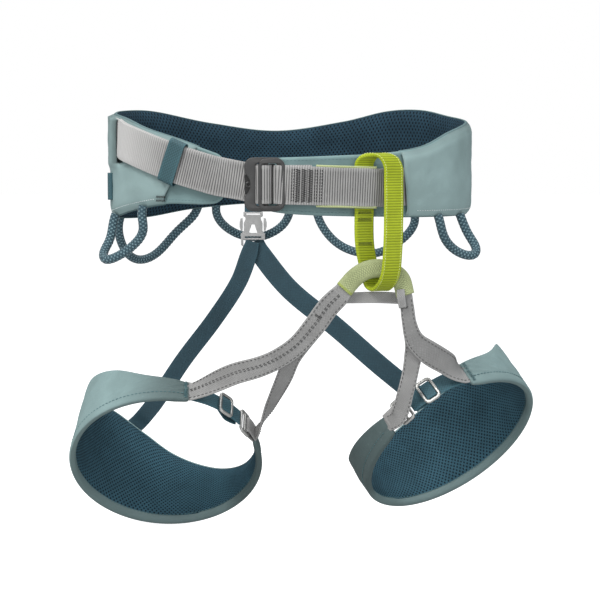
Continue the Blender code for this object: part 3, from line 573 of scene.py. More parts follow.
m_dark = solid("anodised_dark", (0.05, 0.05, 0.05), 0.34, 0.6, wear=0.3)
# Black for the spring cover, and for a plate that stands for shade behind the buckle.
m_gap = solid("spring_black_and_shadow_backing", (0.012, 0.012, 0.012), 0.5, 0.2)
m_alloy = solid("alloy_light", (0.42, 0.42, 0.405), 0.42, 0.8)
m_clip = solid("clip_grey_plastic", (0.38, 0.38, 0.38), 0.5, 0.0, wear=0.08)
m_thread_dark = solid("thread_dark", (0.014, 0.014, 0.014), 0.8)
m_thread_teal = solid("thread_teal", (0.05, 0.10, 0.11), 0.8)
m_thread_grey = solid("thread_grey", (0.055, 0.055, 0.055), 0.8)
m_thread_pale = solid("thread_pale", (0.5, 0.6, 0.6), 0.8)

# ---- belt: padded lining, tongues and outer shell ----
RIM, RIM_MID = 1.3, 6.3             # radius of the belt's rolled edges, and their place in its thickness
LINING_DEEP, PAD_BACK = 5.1, 7.5
PAD_END_ARC = 7.0                   # the stretch over which the pad thins out to its ends
CREASE, CREASE_DEEP = 123.0, 1.3    # the vertical crease in the lining
LINING_ROWS, RIM_ROWS, BACK_ROWS = 34, 6, 8


def belt_edges(angle):
    """Lowest and highest point of the belt."""
    return at_angle(BELT_BOTTOM, angle), at_angle(BELT_TOP, angle)


def rim_gap(z, low, high, reach):
    """1 at the belt's edges, falling to 0 at reach millimetres inside them."""
    return 1 - np.clip(np.minimum(z - low, high - z) / reach, 0, 1)


def pad_section(angle):
    """Section of the pad as (distance from the inner face, height)."""
    low, high = belt_edges(angle)
    end = math.sqrt(min(min(angle - PAD_START, PAD_END - angle) / PAD_END_ARC, 1.0))
    z = np.linspace(low + RIM, high - RIM, LINING_ROWS)
    inner = LINING_DEEP * rim_gap(z, low, high, 16.0) ** 2 + CREASE_DEEP * bell(angle, CREASE, 1.1)
    inner = LINING_DEEP + (inner - LINING_DEEP) * end
    turn = np.radians(np.linspace(160, 20, RIM_ROWS))
    top = [(RIM_MID + RIM * math.cos(t), high - RIM + RIM * math.sin(t)) for t in turn]
    bottom = [(RIM_MID + RIM * math.cos(t), low + RIM - RIM * math.sin(t)) for t in turn[::-1]]
    back = [(PAD_BACK, h) for h in np.linspace(high - RIM - 1, low + RIM + 1, BACK_ROWS)]
    return list(zip(inner, z)) + top + back + bottom


pad_angles = np.concatenate([np.linspace(PAD_START, PAD_START + PAD_END_ARC, 10),
                             np.arange(PAD_START + PAD_END_ARC + 1.5, PAD_END - PAD_END_ARC - 0.5, 1.5),
                             np.linspace(PAD_END - PAD_END_ARC, PAD_END, 10)])
sections = np.array([pad_section(a) for a in pad_angles])
pad = ring(pad_angles[:, None], sections[..., 0], sections[..., 1])
pad_heights = sections[60, :, 1]
outside = range(LINING_ROWS + RIM_ROWS // 2, LINING_ROWS + RIM_ROWS + BACK_ROWS + 2)
belt_pad = grid_mesh("belt_pad", pad, run_along(pad[:, LINING_ROWS // 2]),
                     np.append(pad_heights, pad_heights[0]), [m_mesh, m_shell], wrap_v=True, caps=True,
                     slot_of=lambda i, j: int(j in outside))
place(belt_pad, "belt", "belt_lining_mesh", "belt_lining", "belt_foam")

seam = Thread()
TONGUE_MID, TONGUE_HALF, TONGUE_ROUND = 8.25, 0.5, 3.5


def tongue(name, first, last, *nodes):
    """Thin front end of the inner shell, with a raised bead and a stitched line along both edges."""
    angles = np.arange(first, last + 0.01, 0.5)
    low, high = table(BELT_BOTTOM, angles), table(BELT_TOP, angles)
    near = np.minimum(angles - BELT_START, BELT_END - angles)
    reach = np.sqrt(np.clip(1 - (1 - np.clip(near / TONGUE_ROUND, 0, 1)) ** 2, 0, 1))
    rows = 0.5 + (np.linspace(0, 1, 30)[None] - 0.5) * (0.55 + 0.45 * reach)[:, None]
    z = low[:, None] + (high - low)[:, None] * rows
    d = np.minimum(z - z[:, :1], z[:, -1:] - z)
    half = TONGUE_HALF * np.sqrt(np.clip(d / 0.7, 0, 1))
    outer = ring(angles[:, None], TONGUE_MID + half + 0.45 * bell(d, 2.2, 1.4), z)
    inner = ring(angles[:, None], TONGUE_MID - half, z)
    middle = z[len(z) // 2]
    obj = grid_mesh(name, np.concatenate([outer, inner[:, ::-1]], 1), np.radians(angles) * 125,
                    np.concatenate([middle, middle[::-1], middle[:1]]), [m_tongue], wrap_v=True, caps=True)
    place(obj, "belt", "shell_fabric", *nodes)
    for share in (0.06, 0.94):
        heights = z[:, 0] + (z[:, -1] - z[:, 0]) * share
        seam.row(ring(angles, TONGUE_MID + 0.7, heights), ring_out(angles), 2.0, 1.4, 0.2)


tongue("belt_tongue_left", BELT_START, 60.0, "belt_base_shell")
tongue("belt_tongue_right", 300.0, BELT_END)


def shell_rows(angle):
    """Section of the outer shell: round the top rim, down the face, round the bottom rim."""
    low, high = belt_edges(angle)
    turn = np.radians(np.linspace(115, 20, SHELL_RIM_ROWS))
    top = [(RIM_MID + (RIM + 0.9) * math.cos(t), high - RIM + (RIM + 0.7) * math.sin(t)) for t in turn]
    bottom = [(m, low + high - z) for m, z in top[::-1]]
    z = high - (high - low) * np.linspace(0.03, 0.97, 46)
    face = SHELL_FACE - SHELL_PULL * rim_gap(z, low, high, 11.0) ** 2
    return [(SHELL_TUCK, high - 0.2)] + top + list(zip(face, z)) + bottom + [(SHELL_TUCK, low + 0.2)]


SHELL_FACE, SHELL_PULL, SHELL_TUCK = 12.4, 3.9, 5.3    # the face, how far its rims pull in, its tucked edge
SHELL_RIM_ROWS = 8
SHELL_ROWS = len(shell_rows(100.0))
CURL, CURL_ARC = 6, 1.5             # columns and degrees of the slot's folded lip
LIP_LEVEL = 14.2
FRONT_FADE, REAR_FADE = 26, 12      # degrees over which the front edge slants and the rear one bows
shell_cols = np.concatenate([np.arange(SHELL_START, 260.0, 1.6), np.linspace(261.0, SLOT_REAR, 22),
                             np.linspace(SLOT_REAR + 0.3, SLOT_REAR + CURL_ARC, CURL),
                             [SLOT_FRONT], np.arange(SLOT_FRONT + 1.0, SHELL_END + 0.4, 1.5)])
rear_col = int(np.where(np.isclose(shell_cols, SLOT_REAR))[0][0])
front_col = int(np.where(np.isclose(shell_cols, SLOT_FRONT))[0][0])
shell = np.zeros((len(shell_cols), SHELL_ROWS, 3))
shell_z = np.zeros((len(shell_cols), SHELL_ROWS))
in_slot = np.zeros(SHELL_ROWS, bool)
for i, angle in enumerate(shell_cols):
    low, high = belt_edges(angle)
    for j, (mid, z) in enumerate(shell_rows(angle)):
        share = (z - low) / (high - low)
        at = angle
        face = SHELL_RIM_ROWS < j < SHELL_ROWS - SHELL_RIM_ROWS - 1
        inside = face and SLOT_LOW < share < SLOT_HIGH
        in_slot[j] |= inside and i == rear_col
        if face and LIP_START <= angle <= SLOT_REAR + CURL_ARC + 0.1:
            across = ease((share - SLOT_LOW + 0.08) / 0.08)
            rise = ease((angle - LIP_START) / 9.0) * across * (LIP_LEVEL - mid)
            if angle > SLOT_REAR:
                k = (angle - SLOT_REAR) / CURL_ARC
                if inside:
                    rise -= 0.5 * (1 - math.cos(math.pi * k)) * across
                    at = SLOT_REAR + 0.6 * math.sin(math.pi * k)
                else:
                    rise *= 1 - ease(k)
            mid += rise
        if face and share > SLOT_LOW - 0.05 and SLOT_FRONT <= angle < SLOT_FRONT + 6:
            mid -= 0.9 * (1 - (angle - SLOT_FRONT) / 6)
        front = ease((angle - (SHELL_END - FRONT_FADE)) / FRONT_FADE)
        at += front * SHELL_SLANT * (share - 0.2)
        if angle < SHELL_START + REAR_FADE:
            at += 2.0 * (1 - share) * (1 - ease((angle - SHELL_START) / REAR_FADE))
        if front or angle < SHELL_START + REAR_FADE:
            moved_low, moved_high = belt_edges(at)
            z = moved_low + share * (moved_high - moved_low)
        p = ring(at, mid, z)
        if face:
            depth = min(ease(share * 5), ease((1 - share) * 5))
            hem_pull = 0.5 * fold(p, 6.0, 2.0) * (1 - ease(share * 7))
            p = p + ring_out(at) * ((0.7 * fold(p, 26.0) + 0.4 * fold(p, 9.0, 4.0)) * depth + hem_pull)
        hem = min(abs(i - 0.4), abs(len(shell_cols) - 1.4 - i))
        if hem < 1.5 and face:
            p = p + ring_out(at) * 0.5
        shell[i, j] = p
        shell_z[i, j] = z
# Painted shade: the "edge" attribute darkens the cloth where it is below 0, under the top rim and at the
# slot's lip.
shell_shade = np.zeros((len(shell_cols), SHELL_ROWS))
shell_shade[:, 7:13] = -np.linspace(0.55, 0.0, 6)
shell_shade[rear_col - 5:rear_col + 1, in_slot] = -np.linspace(0.0, 0.75, 6)[:, None]
shell_shade[rear_col + 1:rear_col + CURL + 1, in_slot] = -1.0
# The rim rows take the darker rim fabric, which is painted shade.
belt_outer = grid_mesh("belt_outer", shell, run_along(shell[:, 30]), shell_z[80], [m_shell, m_shaded_rim],
                       slot_of=lambda i, j: 0 if 7 <= j < SHELL_ROWS - 8 else 1, edge=shell_shade,
                       hole=lambda i, j: rear_col + CURL <= i < front_col and in_slot[j] and in_slot[j + 1])
cloth = belt_outer.modifiers.new("cloth", "SOLIDIFY")
cloth.thickness = 0.8 * MM
cloth.offset = -1.0
place(belt_outer, "belt", "shell_fabric", "belt_outer_shell")

# ---- waist webbing: (degrees, millimetres) pairs for its height and its distance from the inner face ----
WEB_HEIGHT = [(240, 18), (262, 31), (278, 31.8), (290, 31.0), (302, 25.4), (314, 17.0), (326, 7.4),
              (336, -0.2), (338, -0.9)]
WEB_LEVEL = [(240, 8.6), (270, 8.8), (289, 9.4), (297, LOAD_MID - 0.9), (304, LOAD_MID),
             (330, LOAD_MID), (338, LOAD_MID + 0.2)]
TAIL_HEIGHT = [(271, 32.0), (280, 32.0), (290, 31.0), (302, 25.2), (314, 16.8), (326, 7.0), (340, -3.3)]
TAIL_LEVEL = [(270, 10.6), (289, 11.2), (297, TAIL_MID - 1.0), (304, TAIL_MID - 0.1), (340, TAIL_MID - 0.2)]


STRAP_THICK, STRAP_RIB, STRAP_PITCH, STRAP_STEP = 1.6, 0.42, 2.3, 0.56


def round_ring(first, last, level, height, facing=1, step=4.0):
    """Strap stations round the waist; facing -1 turns the strap's outside to the wearer."""
    angles = np.linspace(first, last, max(int(abs(last - first) / step), 2) + 1)
    return [(ring(a, at_angle(level, a), at_angle(height, a)), facing * ring_out(a), STRAP_W) for a in angles]


def strap_stations(*spots):
    """Strap stations from (x, y, z, facing)."""
    return [((x, y, z), facing, STRAP_W) for x, y, z, facing in spots]


bz = BUCKLE[2]
around = strap_stations(
    (-44.0, -114.5, -5.5, FRONT), (-36.0, -114.8, -7.0, FRONT), (-28.0, -115.0, -8.0, FRONT),
    (-19.4, -115.0, bz, FRONT), (-17.6, -115.8, bz, (-0.7, -0.7, 0)), (-16.9, -117.3, bz, LEFT),
    (-17.6, -119.4, bz, (-0.8, 0.6, 0)), (-20.0, -121.6, bz, (-0.5, 0.85, 0)), (-24.6, -122.6, bz, BACK),
    (-28.8, -121.8, bz, (0.5, 0.85, 0)), (-31.4, -119.4, bz, (0.7, 0.7, 0)), (-34.6, -117.4, -7.6, BACK),
    (-40.0, -116.9, -6.0, BACK))
waist_path = sample(round_ring(262.0, 336.0, WEB_LEVEL, WEB_HEIGHT) + around
                    + round_ring(338.0, 272.0, TAIL_LEVEL, TAIL_HEIGHT, -1), STRAP_STEP)
waist = tape("waist_strap", waist_path, STRAP_THICK, m_strap, STRAP_RIB, STRAP_PITCH)
place(waist, "belt", "waist_webbing", "waist_webbing")

TIE_LEVEL = [(6, TIE_MID + 1.2), (14, TIE_MID), (25, TIE_MID), (34.5, 10.4), (46, 10.2)]
TIE_HEIGHT = [(6, -9.7), (18, -11), (30, -12.3), (46, -11.5)]
tie_path = sample(strap_stations(
    (19.0, -116.6, bz, BACK), (6.0, -117.2, bz, BACK), (-11.6, -117.3, bz, BACK),
    (-13.6, -118.2, bz, (-0.7, 0.7, 0)), (-14.4, -120.0, bz, LEFT), (-13.6, -121.8, bz, (-0.7, -0.7, 0)),
    (-11.6, -122.7, bz, FRONT), (-3.0, -122.4, -9.0, FRONT), (8.0, -121.0, -9.4, FRONT))
    + round_ring(7.5, 44.0, TIE_LEVEL, TIE_HEIGHT, step=2.5), STRAP_STEP)
tie = tape("tie_in_strap_woven", tie_path, STRAP_THICK, m_strap, STRAP_RIB, STRAP_PITCH)
place(tie, "belt", "tie_in_webbing", "tie_in_strap")


def zigzag(spot, shares, half_width, step, lift):
    """Bar tack points across a strap at the path sample spot, swinging by step along the strap."""
    c, t, a, o = spot
    return [c + a * s * half_width + t * (step if n % 2 else -step) + o * lift for n, s in enumerate(shares)]


def path_spot(path, k):
    return tuple(path[q][k] for q in "ctao")


def front_spot(path, x):
    """The spot nearest to x on the strap's outward-facing front layer."""
    return path_spot(path, int(np.argmin(np.abs(path["c"][:, 0] - x) + (path["o"][:, 1] > 0) * 1e3)))


tacks = Thread()
for x in (6.2, 11.9, 17.6):
    tacks.tube(zigzag(front_spot(tie_path, x), np.linspace(-0.84, 0.84, 31), STRAP_W / 2, 1.9, 1.15), 0.56)
for x in (1.8, 22.3, 27.0):
    c, t, a, o = front_spot(tie_path, x)
    for shift in (-0.9, 0.9):
        line = [c + a * s * STRAP_W / 2 + t * shift + o * 1.0 for s in np.linspace(-0.86, 0.86, 20)]
        tacks.row(line, [o] * 20, 1.2, 1.5, 0.4, 0.1)
place(tacks.build("tie_in_bar_tacks", m_thread_dark), "belt", "tie_in_webbing")

for tag, sign in (("upper", 1), ("lower", -1)):
    edge = [(ring(a, TIE_MID + 0.1, z + sign * (STRAP_W / 2 + 0.6)), ring_out(a), 2.2)
            for a, z in ((7.5, -9.9), (12, -10.4), (17, -10.9), (22, -11.5), (26, -11.9))]
    place(tape("wear_sleeve_edge_" + tag, sample(edge, 1.2), 1.9, m_pale, columns=5), "belt",
          "pale_sleeve", "wear_sleeve_" + tag)


# ---- buckle ----
def rounded_box(width, height, corner, steps=7, shift=0.0):
    """Outline of a rectangle with round corners, moved sideways by shift."""
    pts = []
    for cx, cy, start in ((1, 1, 0), (-1, 1, 90), (-1, -1, 180), (1, -1, 270)):
        for k in range(steps):
            t = math.radians(start + 90 * k / (steps - 1))
            pts.append((shift + cx * (width / 2 - corner) + corner * math.cos(t),
                        cy * (height / 2 - corner) + corner * math.sin(t)))
    return pts


def flat_part(name, loops, thickness, bevel, mat, centre, x_axis=RIGHT, z_axis=(0, 0, 1)):
    """Plate cut from flat outlines, with rounded edges. Outlines lie in the x, z plane of the part."""
    curve = bpy.data.curves.new(name, "CURVE")
    curve.dimensions = "2D"
    curve.fill_mode = "BOTH"
    curve.extrude = (thickness / 2 - bevel) * MM
    curve.bevel_depth = bevel * MM
    curve.bevel_resolution = 3
    curve.offset = -bevel * MM
    for loop in loops:
        spline = curve.splines.new("POLY")
        spline.points.add(len(loop) - 1)
        for point, (x, y) in zip(spline.points, loop):
            point.co = (x * MM, y * MM, 0, 1)
        spline.use_cyclic_u = True
    source = add_object(name + "_outline", curve)
    mesh = bpy.data.meshes.new_from_object(source.evaluated_get(bpy.context.evaluated_depsgraph_get()))
    bpy.data.objects.remove(source)
    x = Vector(x_axis).normalized()
    z = Vector(z_axis)
    z = (z - x * z.dot(x)).normalized()
    y = z.cross(x)
    for vert in mesh.vertices:
        p = vert.co.copy()
        vert.co = Vector(metres(centre)) + x * p.x + z * p.y - y * p.z
    mesh.materials.clear()
    mesh.materials.append(mat)
    mesh.name = name
    clean(mesh, weld=1e-6)
    mesh.set_sharp_from_angle(angle=math.radians(35))
    return add_object(name, mesh)


def notched_plate():
    """Outline of the buckle plate, with a round notch in the middle of its left side."""
    left_side, radius, centre = -17.9, 13.0, -25.8
    turn = np.radians(np.linspace(52, -52, 15))
    notch = [(radius * math.cos(t) + centre, radius * math.sin(t)) for t in turn]
    outline = [p for p in rounded_box(36.0, 48.0, 8.0) if not (p[0] < left_side and abs(p[1]) < radius)]
    split = next(k for k, p in enumerate(outline) if p[0] < left_side and p[1] > 0)
    while outline[split + 1][1] > 0:
        split += 1
    return outline[:split + 1] + notch + outline[split + 1:]


# Each piece of the buckle: its outlines, thickness, bevel, material, and place from the buckle's middle.
BUCKLE_PIECES = {
    "plate_body": ([notched_plate(), rounded_box(19.4, 38.0, 3.0, shift=1.8)], 3.0, 0.7, m_dark, (0, 0)),
    "inner_frame": ([rounded_box(24, 46, 7.0), rounded_box(17.5, 37.4, 3.0)], 2.2, 0.6, m_dark, (6.4, -2.5)),
    "spring_cover": ([rounded_box(9, 22, 4.3)], 1.4, 0.5, m_gap, (-13.2, 2.0)),
    "spring_boss": ([rounded_box(5.6, 5.6, 2.7), rounded_box(2.4, 2.4, 1.1)], 2.4, 0.8, m_dark, (-14.2, 0.4)),
    # Painted shade: a black plate behind the gap between the strap's roll and the tie-in strap, standing for
    # the shade there.
    "shadow_backing": ([rounded_box(6, 36, 1.5)], 1.0, 0.3, m_gap, (6.6, 7.1)),
    "slider_bar": ([rounded_box(7.4, 43, 2.2)], 1.4, 0.5, m_dark, (-0.2, 2.7))}
BUCKLE_NODES = {"plate_body": ["buckle_plate"], "slider_bar": ["buckle_slider"]}
for tag, (loops, thickness, bevel, mat, (dx, dy)) in BUCKLE_PIECES.items():
    piece = flat_part("buckle_" + tag, loops, thickness, bevel, mat, (BUCKLE[0] + dx, BUCKLE[1] + dy, bz))
    body, slot = ("slider", "slider_metal") if tag == "slider_bar" else ("belt", "buckle_metal")
    place(piece, body, slot, *BUCKLE_NODES.get(tag, []))

# ---- keeper ----
KEEP_IN, KEEP_OUT = 12.6, 19.9
KEEP_TILT = math.radians(21)


def steady(path, across, middle):
    """Hold a closed path's width along one direction, and turn its outside away from the middle."""
    path["a"] = np.broadcast_to(np.asarray(across, float), path["c"].shape)
    path["o"] = unit(np.cross(path["a"], path["t"]))
    if np.dot(path["o"][0], path["c"][0] - middle) < 0:
        path["o"] = -path["o"]
    return path


def band(name, centre, out, along, half_long, half_out, width, thick, mat, bow):
    """Closed band of tape round a flat strap; its width lies along, its flat sides bow out."""
    across = unit(np.cross(out, along))
    pts = []
    for sign in (1, -1):
        for t in np.radians(np.linspace(-90, 90, 7)):
            reach = half_long - half_out + half_out * math.cos(t)
            pts.append((centre + across * sign * reach + out * sign * half_out * math.sin(t),
                        across * sign * math.cos(t) + out * sign * math.sin(t), width))
        pts.append((centre + out * sign * (half_out + bow), out * sign, width))
    path = steady(sample(pts, 1.0, closed=True), along, centre)
    return tape(name, path, thick, mat, closed=True, columns=6)


keep_out = ring_out(321.0)
level = unit(np.cross(keep_out, (0, 0, 1)))
keep_along = level * math.cos(KEEP_TILT) + np.array((0, 0, 1)) * math.sin(KEEP_TILT)
keeper = band("waist_keeper_band", ring(322.6, (KEEP_IN + KEEP_OUT) / 2, 10.4), keep_out, keep_along, 20.2,
              (KEEP_OUT - KEEP_IN) / 2, 16.5, 0.9, m_keeper, bow=0.35)
place(keeper, "keeper", "keeper_elastic", "waist_keeper")


# ---- cords ----
def cord(name, points):
    """Braided cord, with its bundles raised where the material paints them pale."""
    path = soften(sample([(p, (0.3, -0.9, 0.3), 1.0) for p in points], 0.8), 130)
    sides = 20
    turn = np.arange(sides) * 2 * math.pi / sides
    u, v = path["u"], turn * CORD_R
    weave = np.cos(2 * math.pi * u[:, None] / FLECK) * np.cos(FLECK_TURNS * v[None] / CORD_GIRTH)
    r = CORD_R + 0.2 * weave
    skin = (path["c"][:, None] + path["a"][:, None] * (r * np.cos(turn))[..., None]
            + path["o"][:, None] * (r * np.sin(turn))[..., None])
    return grid_mesh(name, skin, u, np.append(v, CORD_GIRTH), [m_braid], wrap_v=True, caps=True)


# The cords' middle lines, from one end to the other.
GEAR_LOOPS = {
    "right_front": [(-137, -69, -37.5), (-134, -66, -54), (-150, -58, -72), (-172, -48, -83),
                    (-175, -38, -76), (-168, -30, -64), (-166, -27, -47.5)],
    "right_rear": [(-94, 96, -47.5), (-114, 92, -66), (-132, 80, -86), (-147, 66, -92),
                   (-158, 52, -86), (-165, 38, -70), (-166, 28, -53)],
    "haul": [(-76, 101, -46), (-71, 107, -57), (-60, 116, -67), (-46, 121, -73), (-29, 122, -73),
             (-14, 120, -66), (-5, 115, -57), (-1, 111, -46)],
    "left_rear": [(25, 110, -49), (32, 108, -64), (46, 105, -79), (65, 100, -87),
                  (87, 93, -87), (107, 86, -75), (118, 81, -64), (123, 78, -53)],
    "left_front": [(137, -67, -46), (139, -66, -57), (146, -62, -68), (158, -57, -76),
                   (171, -51, -78), (173, -46, -71), (165, -42, -60), (159, -41, -46.5)]}
for tag, points in GEAR_LOOPS.items():
    first, last = [(x, y, z + 7.0) - 2.5 * unit((x, y, 0.0)) for x, y, z in (points[0], points[-1])]
    obj = cord("gear_cord_" + tag, [first] + points + [last])
    place(obj, "loop_" + tag, "gear_cord", "haul_loop" if tag == "haul" else "gear_loop_" + tag)

accessory = [(ring(281.0, 13.6, z), (-1, -0.2, 0), 9.0) for z in (-2.5, -8, -15, -22, -27.5)]
place(tape("accessory_tape", sample(accessory, 1.0), 5.0, m_keeper, columns=6), "belt", "accessory_tab",
      "accessory_slot")

# ---- belay loop ----
LOOP_CENTRE = [(66, -106, 0), (66, -106, -30), (66.3, -105.8, -60), (69.5, -105.3, -80),
               (75, -107.2, -100), (81.5, -115, -102), (88.5, -122.8, -90), (91, -122, -67),
               (92, -116, -34), (92, -111.5, -6), (91.5, -111.5, 7), (87, -111, 15),
               (79, -110, 17.5), (70, -107.5, 15.5), (66.2, -106, 10)]
belay_path = steady(sample([(c, FRONT, 18.0) for c in LOOP_CENTRE], 0.6, closed=True),
                    unit((0.96, 0.26, 0.0)), np.mean(np.array(LOOP_CENTRE, float), 0))
belay = tape("belay_loop_woven", belay_path, 3.2, m_lime, rib=0.3, pitch=2.4, closed=True)
place(belay, "belay", "belay_loop_webbing", "belay_loop")
lime_thread = Thread()
for share in (-0.78, 0.78):
    p, o = on_strap(belay_path, share, 1, 3.5)
    lime_thread.row(p, o, 1.3, 1.1, 0.22, 0.1)
olive = Thread()
for z in (-34.0, -40.0, -62.0):
    rear_leg = int(np.argmin(np.abs(belay_path["c"][:, 2] - z) + 50 * (belay_path["c"][:, 0] > 70)))
    c, t, a, o = path_spot(belay_path, rear_leg)
    spot = (c, np.array((0, 0, 1)), a, -o * np.sign(o[1]))
    olive.tube(zigzag(spot, np.linspace(-1, 1, 17), 6.0, 1.2, 2.1), 0.4)
place(olive.build("belay_loop_bar_tacks", solid("thread_olive", (0.10, 0.12, 0.02), 0.8)), "belay",
      "belay_loop_webbing")
place(lime_thread.build("belay_loop_edge_stitching", solid("thread_lime", (0.5, 0.56, 0.22), 0.7)), "belay",
      "belay_loop_webbing")

# ---- bridge, protector, cross strap ----
BRIDGE = [(48, -112, -103), (59, -112.5, -91), (70, -113, -85), (84, -112.8, -84.5), (98, -112.3, -92.5),
          (103, -112.5, -108)]
bridge_path = sample([(c, FRONT, 16.8) for c in BRIDGE], 0.8)


def sleeve(name, path, half_thick, mats, hem, pucker=0.25):
    """Soft flattened tube: a padded sleeve round a strap, with beads at its ends and a hem at the first."""
    turn = np.linspace(0, 2 * math.pi, 33)[:-1]
    rings = []
    for k in range(len(path["c"])):
        end = min(path["u"][k], path["len"] - path["u"][k])
        thick = half_thick + 0.35 * bell(end, 2.0, 1.5)
        half = path["w"][k] / 2
        c = np.sign(np.cos(turn)) * np.abs(np.cos(turn)) ** 0.55
        s = np.sign(np.sin(turn)) * np.abs(np.sin(turn)) ** 0.8
        p = path["c"][k] + path["a"][k] * (half * c)[:, None] + path["o"][k] * (thick * s)[:, None]
        wrinkle = np.array([fold(q, 7.0, 2.0) * pucker for q in p])
        rings.append(p + path["o"][k] * (wrinkle * np.sign(s))[:, None])
    points = np.array(rings)
    v = np.append(turn * 9, 2 * math.pi * 9)
    return grid_mesh(name, points, path["u"], v, mats, wrap_v=True, caps=True,
                     slot_of=lambda i, j: int(path["u"][i] < hem))


protector = sleeve("bridge_sleeve", bridge_path, 2.7, [m_pale, m_hem], hem=1.6)
place(protector, "belt", "pale_sleeve", "bridge_protector", "bridge_webbing")
cross_path = sample([((49, -108.2, -111.5), FRONT, 9.0), ((55, -107.4, -111.0), FRONT, 10.0),
                     ((75, -107.6, -110.5), FRONT, 10.5), ((92, -107.4, -111.0), FRONT, 10.5),
                     ((97.5, -108.4, -111.5), FRONT, 10.0)], 0.8)
cross = tape("cross_strap_tape", cross_path, 1.5, m_leg, columns=8, slack=0.2)
place(cross, "belt", "cross_webbing", "cross_strap")
end_tab = sample([((98.5, -116.0, -102.5), FRONT, 7.0), ((99.0, -117.0, -109), FRONT, 7.5),
                  ((100.5, -116.0, -119), FRONT, 7.0)], 0.8)
place(tape("cross_strap_end_tab", end_tab, 1.6, m_leg, columns=6), "belt", "cross_webbing")


# ---- leg loops ----
def leg_axes(leg):
    """The loop's axis, its sideways direction and its upward one."""
    normal = unit(leg["normal"])
    side = unit(np.cross((0.0, 0.0, 1.0), normal))
    if side[0] < 0:
        side = -side
    up = np.cross(normal, side)
    if up[2] < 0:
        up = -up
    return normal, side, up


def leg_point(leg, arc, inward, rise):
    """Point arc degrees along a leg loop, inward from its outer face, rise above its lower rim."""
    normal, side, up = leg_axes(leg)
    turn = np.radians(leg["start"] + leg["turn"] * np.asarray(arc, float))[..., None]
    rise = np.asarray(rise, float)
    radius = (LEG_R - inward - leg["lean"] * (rise - PAD_FOOT))[..., None]
    return (np.array(leg["centre"]) + side * radius * np.cos(turn) + up * radius * np.sin(turn)
            + normal * rise[..., None])


def leg_out(leg, arc):
    _, side, up = leg_axes(leg)
    turn = np.radians(leg["start"] + leg["turn"] * np.asarray(arc, float))[..., None]
    return side * np.cos(turn) + up * np.sin(turn)


OUT_N, IN_N, RIM_N, TOP_N = 26, 30, 9, 6     # points of a leg pad's section: outside, inside, rim, top
BAND, RIM_FOOT = 5.2, 3.2                    # the inner band ends at BAND, and starts at the rolled rim
LEG_RIM, PAD_SHIN = 3.0, 4.6                 # the rim's radius, and the lining's depth at its edges
LEG_END_ARC = 8.0


def pad_profile(width, end):
    """Section of a leg pad as (inward, rise), from the outside round the rolled lower rim to the top."""
    deep = 3.4 + 3.3 * end
    pts = []
    for rise in np.linspace(width - 1.2, LEG_RIM, OUT_N):
        top = np.clip((width - rise) / 10, 0, 1)
        pts.append((0.9 * (1 - top) ** 2 + 0.45 * bell(rise, BAND + 1.5, 1.0), rise))
    for t in np.radians(np.linspace(75, -75, RIM_N)):
        pts.append((LEG_RIM - LEG_RIM * math.sin(t), 0.2 - LEG_RIM * math.cos(t)))
    for rise in np.linspace(RIM_FOOT, width - 1.4, IN_N):
        top = ease((width - rise) / 13)
        band = 5.9 - 0.08 * (rise - RIM_FOOT)
        swell = PAD_SHIN + (deep - PAD_SHIN) * ease((rise - BAND) / 11) * top
        body = swell if rise > BAND else band
        pts.append((body - 1.1 * bell(rise, BAND, 0.9) - 2.0 * (1 - top), rise))
    for t in np.radians(np.linspace(65, -65, TOP_N)):
        pts.append((1.9 + 1.1 * math.sin(t), width - 1.0 + 1.1 * math.cos(t)))
    return pts


